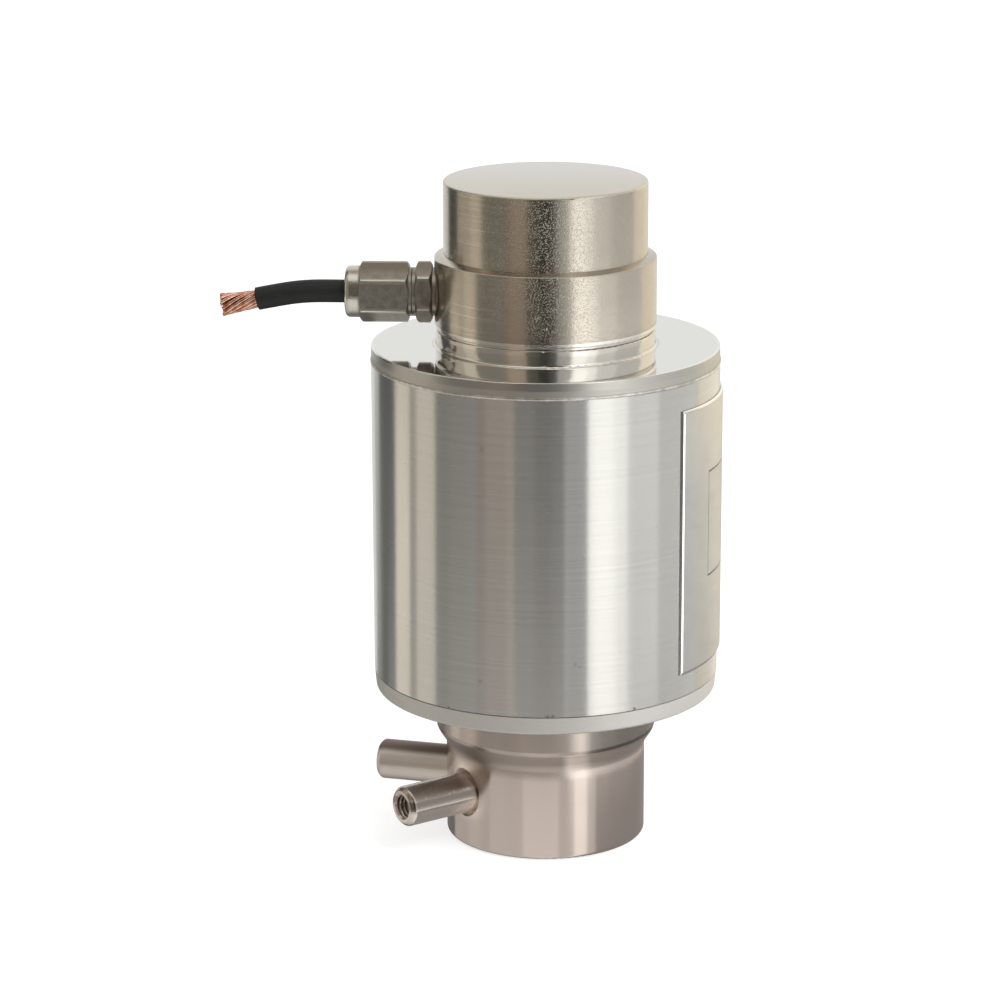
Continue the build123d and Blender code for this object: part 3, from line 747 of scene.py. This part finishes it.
grain = f.noise(3.8, 1.0)
sparkle = (grain * 0.5 + grain.step(0.57, 0.68)) * (0.2 + 0.8 * grainy) * (1 - base)
pits = f.spot(*BOSS_PIT) + f.spots(COLLAR_SKIN, COLLAR_PITS)
rings = f.facing_rings((x * x + y * y) ** 0.5, 6.0)
waves = f.drawn_noise((0.13, 0.13, 0.8), 1.0)
bulge = ((z - NECK[0]) * (pi / (NECK[1] - NECK[0]))).math("SINE")
rough = 0.17 + 0.04 * sparkle + 0.03 * cloud - 0.045 * base + 0.42 * flare
rough = rough - 0.05 * neck + 0.13 * top - 0.32 * strip + 0.22 * root
height = (sparkle * 2.3 + pits * 6.0) * plain + turning * 0.15 * base
height = height + rings * top * 0.5 + (waves * 8.0 + bulge * 22.0) * neck
f.metal(tint, rough, f.bump(height, 0.010))

# %% [markdown]
# ## The brushed housing
#
# The housing was brushed while it turned, which leaves fine lines round it. Light spreads across such lines
# and stays sharp along them, so reflections smear upright. The lines themselves are a noise drawn out round
# the tube, and the spread comes from the shader's anisotropy, because no bump is fine enough to do it
# alone. A few stains and the nicks over the lower seam are spots.

# %% Brushed housing
HOUSING_TINTS = (0.55, 0.545, 0.525), (0.62, 0.615, 0.59)
STAIN_TINT = (0.25, 0.24, 0.22)
NICK_TINT = (0.20, 0.19, 0.17)
STAINS = [(-18.5, 98.5, 0.8), (-19.5, 46.5, 0.6), (11.5, 51.0, 0.6), (13.0, 50.5, 0.4)]
NICKS = [(2.6, 39.3, 0.45), (4.4, 39.4, 0.4), (32.0, 39.4, 0.5), (-31.0, 39.3, 0.35)]

f = Finish("brushed_housing")
fine = f.drawn_noise((0.03, 0.03, 9.0), 4.0, 0.6)
coarse = f.drawn_noise((0.02, 0.02, 2.4), 3.0, 0.7)
lines = 0.5 * fine + 0.5 * coarse
cloud = f.drawn_noise((0.10, 0.10, 0.03), 3.0)
scratch = f.drawn_noise((0.25, 0.25, 5.0), 1.0).step(0.70, 0.80)
tint = f.mix(lines.step(0.25, 0.75), *HOUSING_TINTS)
tint = f.mix(f.spots(HOUSING_RADIUS, STAINS) * 0.2, tint, STAIN_TINT)
tint = f.mix(f.spots(HOUSING_RADIUS, NICKS) * 0.7, tint, NICK_TINT)
rough = 0.17 + 0.06 * lines + 0.04 * cloud + 0.06 * scratch
relief = f.bump(fine + 0.03 * coarse + 0.1 * scratch, 0.003)
f.metal(tint, rough, relief, anisotropic=1.0, anisotropic_rotation=0.25)

# %% [markdown]
# ## The polished cover
#
# The top cover is polished like a mirror on its face and only turned on its rim, with a ground strip next to
# the weld. The edge between face and rim carries a painted highlight. Its zones come from the height and the
# radius.

# %% Polished cover
FACE_START = COVER_FACE - 0.30, COVER_FACE - 0.10
GROUND_END = COVER_FACE - 1.90, COVER_FACE - 1.70
EDGE_START = COVER_FACE - 0.07, COVER_FACE + 0.05
EDGE_RADIUS = 37.9, 38.1
COVER_TINTS = (0.82, 0.815, 0.80), (0.50, 0.485, 0.45)
COVER_GROUND_TINT = (0.56, 0.545, 0.51)
COVER_EDGE_PAINTED_HIGHLIGHT = (0.97, 0.96, 0.94)

f = Finish("polished_cover")
x, y, z = f.split()
radius = (x * x + y * y) ** 0.5
rim = 1 - z.step(*FACE_START)
ground = 1 - z.step(*GROUND_END)
edge = z.step(*EDGE_START) * radius.step(*EDGE_RADIUS)
lines = f.drawn_noise((0.03, 0.03, 7.0), 3.0)
cloud = f.noise(0.08, 3.0)
tint = f.mix(rim, *COVER_TINTS)
tint = f.mix(ground, tint, COVER_GROUND_TINT)
# Painted highlight on the edge between face and rim.
tint = f.mix(edge, tint, COVER_EDGE_PAINTED_HIGHLIGHT)
rough = 0.035 + 0.03 * cloud + rim * (0.22 + 0.12 * lines) + ground * 0.1 + edge * 0.3
relief = f.bump(f.facing_rings(radius, 4.0) * (1 - rim) * 0.06 + lines * rim, 0.004)
f.metal(tint, rough, relief)

# %% [markdown]
# ## The satin lower cover
#
# The lower cover was left as it came from the blasting cabinet: pale and matt, with a mottle and small pits.
# On the nameplate's side it is painted paler, as a painted highlight, which one more mix along X adds.

# %% Satin cover
SATIN_TINTS = (0.68, 0.67, 0.635), (0.80, 0.79, 0.765)
SATIN_PAINTED_LIGHT = (1.0, 0.99, 0.97)
PAINTED_LIGHT_SIDE = 6, 30

f = Finish("satin_cover")
x, y, z = f.split()
mottle = f.drawn_noise((0.35, 0.35, 1.2), 4.0, 0.6)
pits = f.drawn_noise((1.0, 1.0, 1.6), 2.0).step(0.66, 0.78)
# Painted highlight: the nameplate's side of the cover is painted paler.
tint = f.mix(x.step(*PAINTED_LIGHT_SIDE) * 0.85, f.mix(mottle, *SATIN_TINTS), SATIN_PAINTED_LIGHT)
relief = f.bump(mottle - 0.5 * pits, 0.02)
f.metal(tint, 0.50 + 0.20 * mottle, relief)

# %% [markdown]
# ## The nameplate's steel
#
# The plate's face is satin steel, and its upper part is painted paler as a painted reflection. Its sloping
# edges carry a painted highlight, and the ruled groove is filled with dark paint. Both lie below the face, so
# the radius finds them, and a field well inside the plate's outline tells the groove from the edges.

# %% Nameplate steel
PLATE_TINTS = (0.48, 0.48, 0.465), (0.54, 0.54, 0.525)
PLATE_TOP_PAINTED_REFLECTION = (0.62, 0.60, 0.56)
GROOVE_TINT = (0.13, 0.12, 0.10)
PLATE_EDGE_PAINTED_HIGHLIGHT = (0.96, 0.95, 0.93)
BELOW_FACE = PLATE_FACE - 0.09, PLATE_FACE - 0.02
FRAME_FIELD = 50, 100
FRAME_SLOPE = 0.72
TOP_PART = 80, 104

f = Finish("plate_steel")
x, y, z = f.split()
below_face = 1 - ((x * x + y * y) ** 0.5).step(*BELOW_FACE)
field = (x * FRAME_SLOPE - y.math("ABSOLUTE")).step(0.0, 1.0) * z.band(*FRAME_FIELD, 1)
groove, edge = below_face * field, below_face * (1 - field)
satin = f.drawn_noise((0.5, 0.05, 0.5), 4.0, 0.6)
tint = f.mix(f.noise(0.12, 3.0), *PLATE_TINTS)
# Painted reflection: the plate's upper part is painted paler.
tint = f.mix(z.step(*TOP_PART), tint, PLATE_TOP_PAINTED_REFLECTION)
tint = f.mix(groove, tint, GROOVE_TINT)
# Painted highlight on the plate's sloping edges.
tint = f.mix(edge, tint, PLATE_EDGE_PAINTED_HIGHLIGHT)
rough = 0.30 + 0.12 * satin - 0.20 * edge
f.metal(tint, rough, f.bump(satin, 0.004))

# %% [markdown]
# ## The pins' steel
#
# The pins are hardened dowels, brownish from the furnace. The rear pin is painted paler as painted light, and
# both carry painted highlights and painted dark reflections in stripes along them. A stripe that runs along a
# level pin keeps its height, so each one is a tint between two heights, and the two pins are told apart by
# how far forward they lie. Worn specks run along the front one.

# %% Pin steel
PIN_TINTS = (0.50, 0.44, 0.40), (0.60, 0.53, 0.485)
REAR_SIDE = -8, -4
REAR_PAINTED_LIGHT, REAR_PAINTED_HIGHLIGHT, REAR_PAINTED_DARK_REFLECTION = (0.74, 0.67, 0.61), (1.0, 0.94, 0.89), (0.28, 0.225, 0.195)
REAR_HIGHLIGHT_START, REAR_DARK_REFLECTION_START = (13.0, 14.4), (15.3, 16.4)
FRONT_PAINTED_HIGHLIGHT, FRONT_PAINTED_DARK_REFLECTION, WORN_TINT = (0.76, 0.70, 0.64), (0.23, 0.205, 0.185), (0.90, 0.87, 0.82)
FRONT_HIGHLIGHT_END, FRONT_DARK_REFLECTION_STRIPE, WORN_ROW = (11.8, 12.5), (12.8, 14.7), (14.8, 15.2)

f = Finish("pin_steel")
x, y, z = f.split()
grain = f.noise(1.6, 3.0)
pits = f.noise(1.1, 1.0).step(0.70, 0.76)
rear = y.step(*REAR_SIDE)
front = 1 - rear
specks = f.noise(1.9, 1.0).step(0.56, 0.66)
tint = f.mix(f.noise(0.22, 2.0), *PIN_TINTS)
# Painted light: the rear pin is painted paler all over.
tint = f.mix(rear, tint, REAR_PAINTED_LIGHT)
# Painted highlight band, then a painted dark reflection band higher up, along the rear pin.
tint = f.mix(rear * z.step(*REAR_HIGHLIGHT_START), tint, REAR_PAINTED_HIGHLIGHT)
tint = f.mix(rear * z.step(*REAR_DARK_REFLECTION_START), tint, REAR_PAINTED_DARK_REFLECTION)
# Painted highlight on the front pin's lower side, and a painted dark reflection stripe above it.
tint = f.mix(front * (1 - z.step(*FRONT_HIGHLIGHT_END)), tint, FRONT_PAINTED_HIGHLIGHT)
tint = f.mix(front * z.band(*FRONT_DARK_REFLECTION_STRIPE, 0.4) * 0.85, tint, FRONT_PAINTED_DARK_REFLECTION)
tint = f.mix(front * z.band(*WORN_ROW, 0.3) * specks, tint, WORN_TINT)
rough = 0.20 + 0.10 * grain + 0.24 * rear
f.metal(tint, rough, f.bump(grain - pits, 0.012))

# %% [markdown]
# ## The gland's plating
#
# The gland is plated with dull nickel over blasted steel. Its corners carry a painted highlight, found by the
# distance from the gland's axis, its top is painted darker as painted shade, and its round collar is smoother
# and paler than the hexagons.

# %% Gland
GLAND_HEIGHT = round((box_mm("gland_nut")[0][2] + box_mm("gland_nut")[1][2]) / 2, 2)
GLAND_TINTS = (0.36, 0.34, 0.295), (0.48, 0.455, 0.41)
GLAND_TOP_PAINTED_SHADE = (0.30, 0.27, 0.225)
CORNER_PAINTED_HIGHLIGHT = (0.80, 0.78, 0.71)
COLLAR_TINT = (0.66, 0.64, 0.56)
COLLAR_START = 40.9, 41.4
CORNER_REACH = 6.50, 6.78
GLAND_TOP_START = 4.0, 6.0

f = Finish("gland_plating")
x, y, z = f.split()
above_axis = z - GLAND_HEIGHT
collar = (0 - x).step(*COLLAR_START)
corner = ((y * y + above_axis * above_axis) ** 0.5).step(*CORNER_REACH) * (1 - collar)
mottle = f.noise(0.75, 3.0, 0.6)
tint = f.mix(mottle.step(0.3, 0.7), *GLAND_TINTS)
# Painted shade on the gland's top.
tint = f.mix(above_axis.step(*GLAND_TOP_START), tint, GLAND_TOP_PAINTED_SHADE)
# Painted highlight on the hexagons' corners.
tint = f.mix(corner, tint, CORNER_PAINTED_HIGHLIGHT)
tint = f.mix(collar, tint, COLLAR_TINT)
rough = 0.34 + 0.12 * mottle - 0.08 * corner - 0.14 * collar
relief = f.bump(f.noise(3.2, 2.0) + mottle * 0.5, 0.02)
f.metal(tint, rough, relief)

# %% [markdown]
# ## The cable's materials
#
# The jacket is black rubber with long faint scuffs from the floor. Copper shows clean pink metal where it
# was drawn and browner patches where air has reached it. Both patterns are drawn out along the cable, which
# lies along X here.

# %% Jacket and copper
JACKET_TINTS = (0.010, 0.0105, 0.0105), (0.022, 0.022, 0.022)
COPPER_TINTS = (0.66, 0.28, 0.18), (1.00, 0.70, 0.55)

f = Finish("jacket_black")
grain = f.noise(2.5, 3.0)
scuff = f.drawn_noise((0.3, 2.0, 2.0), 2.0).step(0.6, 0.8)
rough = 0.46 + 0.16 * grain
tint = f.mix(scuff, *JACKET_TINTS)
f.surface(base_color=tint, roughness=rough, specular_ior_level=0.32, normal=f.bump(grain, 0.015))

f = Finish("copper")
tint = f.mix(f.noise(0.8, 2.0).step(0.3, 0.7), *COPPER_TINTS)
drawn = f.drawn_noise((0.6, 5.0, 5.0), 2.0)
f.metal(tint, 0.16 + 0.12 * drawn, f.bump(drawn, 0.01))

# %% [markdown]
# ## The small parts
#
# Rubber, brass, ceramic, gauge film and foil are seen only when the housing is opened, and the seal ring,
# the weld bead and the brown wrap at the cable's cut are too small to show more than a grain. One shared
# function is enough for them all, with a row of values each. Weld metal freezes in patches, so its tints
# have sharper borders.

# %% Small parts
SMALL_PARTS = {
    "grommet_rubber": [(0.015, 0.015, 0.015), (0.04, 0.04, 0.04), 0.6, 2.0, 0.02],
    "ferrule_brass": [(0.62, 0.44, 0.18), (0.80, 0.60, 0.28), 0.25, 1.5, 0.01, 1.0],
    "resistor_ceramic": [(0.02, 0.02, 0.025), (0.07, 0.07, 0.075), 0.3, 2.5, 0.01],
    "gauge_film": [(0.55, 0.26, 0.05), (0.70, 0.36, 0.09), 0.28, 1.0, 0.005],
    "gauge_foil": [(0.66, 0.60, 0.50), (0.80, 0.74, 0.64), 0.25, 4.0, 0.003, 1.0],
    "liner_brown": [(0.10, 0.055, 0.03), (0.22, 0.13, 0.08), 0.55, 3.0, 0.03],
    "seal_metal": [(0.38, 0.34, 0.29), (0.56, 0.52, 0.46), 0.3, 2.0, 0.01, 1.0, 0.2],
    "weld_bead": [(0.58, 0.55, 0.50), (0.86, 0.84, 0.78), 0.30, 0.45, 0.015, 1.0, 0.15, True],
}


def small_finish(name, dark, light, roughness, size, depth, metallic=0.0, spread=0.12, patchy=False):
    """Finish of a small part: two tints in a grain of the given size per millimetre, with a fine bump.
    spread is how much roughness the grain adds."""
    f = Finish(name)
    grain = f.noise(size, 3.0)
    tint = f.mix(grain.step(0.3, 0.7) if patchy else grain, dark, light)
    rough = roughness + spread * grain
    f.surface(base_color=tint, metallic=metallic, roughness=rough, normal=f.bump(grain, depth))


for name, recipe in SMALL_PARTS.items():
    small_finish(name, *recipe)

# %% [markdown]
# ## The leads and the board
#
# The four leads lie side by side, each in its own colour, so that their places along Y choose red, black,
# green and white. The board is glass cloth in green resin: two crossed sines give the weave, and a cloud
# stains it.

# %% Lead insulation and board
CORE_RED, CORE_BLACK = (0.45, 0.02, 0.015), (0.02, 0.02, 0.02)
CORE_GREEN, CORE_WHITE = (0.02, 0.22, 0.05), (0.75, 0.74, 0.70)
CORE_GAP = 1.0
GAP_SOFT = 0.01
BOARD_TINTS = (0.012, 0.09, 0.035), (0.02, 0.16, 0.07)
WEAVE = 9.0

f = Finish("core_insulation")
x, y, z = f.split()
grain = f.noise(3.0, 2.0)
first = f.mix(y.step(-CORE_GAP - GAP_SOFT, -CORE_GAP + GAP_SOFT), CORE_RED, CORE_BLACK)
second = f.mix(y.step(CORE_GAP - GAP_SOFT, CORE_GAP + GAP_SOFT), CORE_GREEN, CORE_WHITE)
tint = f.mix(y.step(-GAP_SOFT, GAP_SOFT), first, second)
f.surface(base_color=tint, roughness=0.38 + 0.12 * grain, normal=f.bump(grain, 0.01))

f = Finish("board_laminate")
x, y, z = f.split()
weave = (x * WEAVE).math("SINE") * (y * WEAVE).math("SINE")
grain = f.noise(1.2, 3.0)
tint = f.mix(0.5 + 0.2 * weave + 0.3 * grain, *BOARD_TINTS)
f.surface(base_color=tint, roughness=0.34 + 0.1 * grain, normal=f.bump(0.5 + 0.5 * weave, 0.01))

# %% [markdown]
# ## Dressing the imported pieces
#
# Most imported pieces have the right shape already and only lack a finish. The record names a material slot
# for each, and the finish with the slot's name goes on it. Their meshes and places stay as they are.

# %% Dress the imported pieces
slot_of = {part["node"]: part["material_slot"] for part in frame["record"]["subparts"]}
for name, node in frame["nodes"].items():
    node.data.materials.clear()
    node.data.materials.append(finishes[slot_of[name]])
print("dressed:", len(slot_of), "pieces in", len(set(slot_of.values())), "finishes")

# %% [markdown]
# ## Adding the new pieces
#
# The new meshes become pieces that ride on the column's body. Three of them stand for imported ones, which
# are then hidden: the tube for the jacket's solid, the wires for the strands' solid, and the ruled plate for
# the plain one. The cable's length and thickness are printed.

# %% New pieces
def add(name, mesh, material, replaces=()):
    """New piece on the column's body in one finish; the imported pieces that it replaces are hidden."""
    piece = show(name, mesh, material)
    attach(piece, "root")
    if replaces:
        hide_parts(*replaces)
    return piece


jacket = add("cable_jacket_tube", jacket_mesh, finishes["jacket_black"], ["cable_jacket"])
strands = add("copper_strands", strand_mesh, finishes["copper"], ["conductor_strands"])
liner = add("core_liner", liner_mesh, finishes["liner_brown"])
add("nameplate_ruled", plate_mesh, finishes["plate_steel"], ["nameplate"])
add("seam_bead", bead_mesh, finishes["weld_bead"])
for side, mesh in thread_meshes.items():
    add(f"thread_{side}", mesh, finishes["pin_steel"])
print("cord:", round(cable_length / MM, 1), "mm long and", round(2 * CABLE_RADIUS / MM, 1), "mm thick")

# %% [markdown]
# ## The studio's cards
#
# Bright metal has hardly a colour of its own: it shows the room. A product photographer hangs white, grey
# and tinted cards round the object for that reason. Here each card glows, and only glossy surfaces see it,
# so it neither lights the floor nor throws a shadow. A lamp's reflection would be a single hard spot
# instead.

# %% Cards that only metal sees
CARD_RADIUS = 0.95
CARD_COLUMNS = 24
NEUTRAL = (1.0, 1.0, 0.98)
BEIGE = (1.0, 0.92, 0.78)
GREEN_GREY = (1.0, 0.97, 0.83)
BROWN = (1.0, 0.83, 0.67)
PINK = (1.0, 0.97, 0.94)


def glow(name, tint, strength):
    """Material that only glows."""
    finish = Finish(name)
    shader = finish.node("Emission", None, {"Color": colour(tint), "Strength": strength})
    finish.node("OutputMaterial", None, {"Surface": shader}, output=())
    return finish.material


def card(name, points, tint, strength):
    """Card that only glossy surfaces see."""
    sheet = mesh_of_grids(name, [points], across_closed=False, caps=False)
    piece = show(name, sheet, glow(name, tint, strength))
    piece.visible_camera = False
    piece.visible_diffuse = False
    piece.visible_shadow = False
    piece.visible_transmission = False


def standing_card(name, start, end, tint, strength, low, high):
    """Curved card between two azimuths, counted in degrees from the camera's side towards +X:
    its points are (R sin a, -R cos a, z)."""
    angle, height = np.meshgrid(np.radians(np.linspace(start, end, CARD_COLUMNS)), np.array([low, high]))
    points = np.stack([CARD_RADIUS * np.sin(angle), -CARD_RADIUS * np.cos(angle), height], axis=-1)
    card(name, points, tint, strength)

# %% [markdown]
# ## The ring of cards
#
# Curved cards stand in a ring round the object. Each fills the part of the metal that faces halfway towards
# it. The camera looks down, so the upper part of a card is what the boss and the collar see, and its lower
# part is what the housing sees. Each row gives two azimuths, a tint, and the strength of the lower and the
# upper part.

# %% Ring of cards
CARD_LOW, CARD_BREAK, CARD_HIGH = -0.285, -0.115, 1.6
CARDS = [
    ("card_back", 160, 209, NEUTRAL, 0.86, 0.86),
    ("card_back_left", -151, -137, NEUTRAL, 0.42, 0.75),
    ("card_dark_left", -137, -114, NEUTRAL, 0.24, 0.08),
    ("card_beige_far", -114, -98, BEIGE, 1.60, 0.46),
    ("card_gap", -98, -91, BEIGE, 0.44, 0.46),
    ("card_beige_near", -91, -74, BEIGE, 1.16, 0.64),
    ("card_green_grey", -74, -49, GREEN_GREY, 0.23, 0.23),
    ("card_thin_light", -49, -44, NEUTRAL, 0.27, 0.22),
    ("card_dusk", -44, -37, BROWN, 0.16, 0.27),
    ("card_brown", -37, -18, BROWN, 0.24, 0.39),
    ("card_front", -18, -5, GREEN_GREY, 0.12, 0.10),
    ("card_darkest", -5, 6, GREEN_GREY, 0.06, 0.04),
    ("card_dim", 6, 14, NEUTRAL, 0.11, 0.08),
    ("card_dim_light", 14, 29, NEUTRAL, 0.42, 0.47),
    ("soft_box", 29, 45, NEUTRAL, 2.45, 1.45),
    ("soft_box_edge", 45, 56, NEUTRAL, 2.45, 1.18),
    ("card_light", 56, 80, NEUTRAL, 1.85, 0.78),
    ("card_right", 80, 118, NEUTRAL, 1.38, 0.62),
    ("card_golden", 118, 160, BEIGE, 1.30, 1.05),
]
for name, start, end, tint, lower, upper in CARDS:
    standing_card(name + "_low", start, end, tint, lower, CARD_LOW, CARD_BREAK)
    standing_card(name + "_high", start, end, tint, upper, CARD_BREAK, CARD_HIGH)
print("cards in the ring:", 2 * len(CARDS))

# %% [markdown]
# ## The pit and the ceiling
#
# The base stands under the housing and mirrors what lies low in front of it, which in a real studio is the
# table. Here that is a round pit below the floor, with a wall and a disc cut into slices. Overhead, a pale
# ceiling lights the top face, and its back half is darker, as the room behind a table is.

# %% Pit and ceiling
PIT_LOW = -1.2
SLICE_TIP = 0.001
CEILING_SPLIT = 0.12
PIT = [
    ("pit_back_left", -180, -130, PINK, 0.20),
    ("pit_left", -130, -100, PINK, 0.58),
    ("pit_left_edge", -100, -82, PINK, 0.66),
    ("pit_left_near", -82, -66, PINK, 0.62),
    ("pit_front_left", -66, -24, PINK, 0.74),
    ("pit_front", -24, 17, PINK, 0.93),
    ("pit_dip", 17, 35, PINK, 0.70),
    ("pit_bright", 35, 51, PINK, 1.22),
    ("pit_grey", 51, 62, PINK, 0.64),
    ("pit_right", 62, 180, PINK, 0.33),
]


def pit_slice(name, start, end, tint, strength):
    """Slice of the disc that closes the pit below: its points are (r sin a, -r cos a, z)."""
    azimuths = np.radians(np.linspace(start, end, CARD_COLUMNS))
    angle, radius = np.meshgrid(azimuths, np.array([SLICE_TIP, CARD_RADIUS]))
    card(name, np.stack([radius * np.sin(angle), -radius * np.cos(angle), 0 * angle + PIT_LOW], axis=-1),
         tint, strength)


def ceiling_card(name, near, far, tint, strength):
    """Level card above everything, between two distances behind the column: its points are (x, y, z)."""
    x, y = np.meshgrid(np.array([-CARD_RADIUS, CARD_RADIUS]), np.array([near, far]))
    card(name, np.stack([x, y, 0 * x + CARD_HIGH], axis=-1), tint, strength)


for row in PIT:
    standing_card(*row, PIT_LOW, CARD_LOW)
    pit_slice(row[0] + "_floor", *row[1:])
ceiling_card("ceiling_front", -CARD_RADIUS, CEILING_SPLIT, NEUTRAL, 1.0)
ceiling_card("ceiling_back", CEILING_SPLIT, CARD_RADIUS, BROWN, 0.40)
print("pieces of the pit:", 2 * len(PIT))

# %% [markdown]
# ## Background and floor
#
# The world is plain white, and the floor is a sheet of pale paper that glows a little by itself, so that it
# reads as white and still keeps the object's shadow. It is hidden from reflections, because the pit stands
# for it there.

# %% Background and floor
PAPER_GREY, PAPER_GLOW = 0.5, 0.62
FLOOR_HALF = 4.0
FLOOR_DROP = 0.0002

world = bpy.data.worlds.new("studio")
bpy.context.scene.world = world
world.use_nodes = True
world.node_tree.nodes["Background"].inputs["Color"].default_value = (1, 1, 1, 1)
world.node_tree.nodes["Background"].inputs["Strength"].default_value = 1.0

paper_material = Finish("paper").surface(
    base_color=(PAPER_GREY, PAPER_GREY, PAPER_GREY), roughness=1.0, specular_ior_level=0.0,
    emission_color=(1.0, 1.0, 1.0), emission_strength=PAPER_GLOW,
)
floor_x, floor_y = np.meshgrid([-FLOOR_HALF, FLOOR_HALF], [-FLOOR_HALF, FLOOR_HALF])
floor_points = np.stack([floor_x, floor_y, 0 * floor_x - FLOOR_DROP], axis=-1)
floor = show("floor", mesh_of_grids("floor", [floor_points], across_closed=False, caps=False), paper_material)
floor.visible_glossy = False

# %% [markdown]
# ## The lamp
#
# One large soft lamp stands high on the right, in front of the object. It gives the matt surfaces, such as
# the jacket, their shape and throws the faint shadow. It stays out of reflections, where the soft box
# stands for it.

# %% Lamp
LAMP_SIZE = 0.5
LAMP_POWER = 6.0
LAMP_PLACE = (0.45, -0.6, 0.8)
LAMP_TURN, LAMP_TILT = 36.0, 45.0

lamp = bpy.data.lights.new("key_lamp", "AREA")
lamp.shape = "DISK"
lamp.size = LAMP_SIZE
lamp.energy = LAMP_POWER
key = bpy.data.objects.new("key_lamp", lamp)
key.matrix_world = Matrix.Translation(LAMP_PLACE) @ turn(LAMP_TURN, "Z") @ turn(LAMP_TILT, "X")
key.visible_glossy = False
bpy.context.scene.collection.objects.link(key)
print("lamp at", LAMP_PLACE)
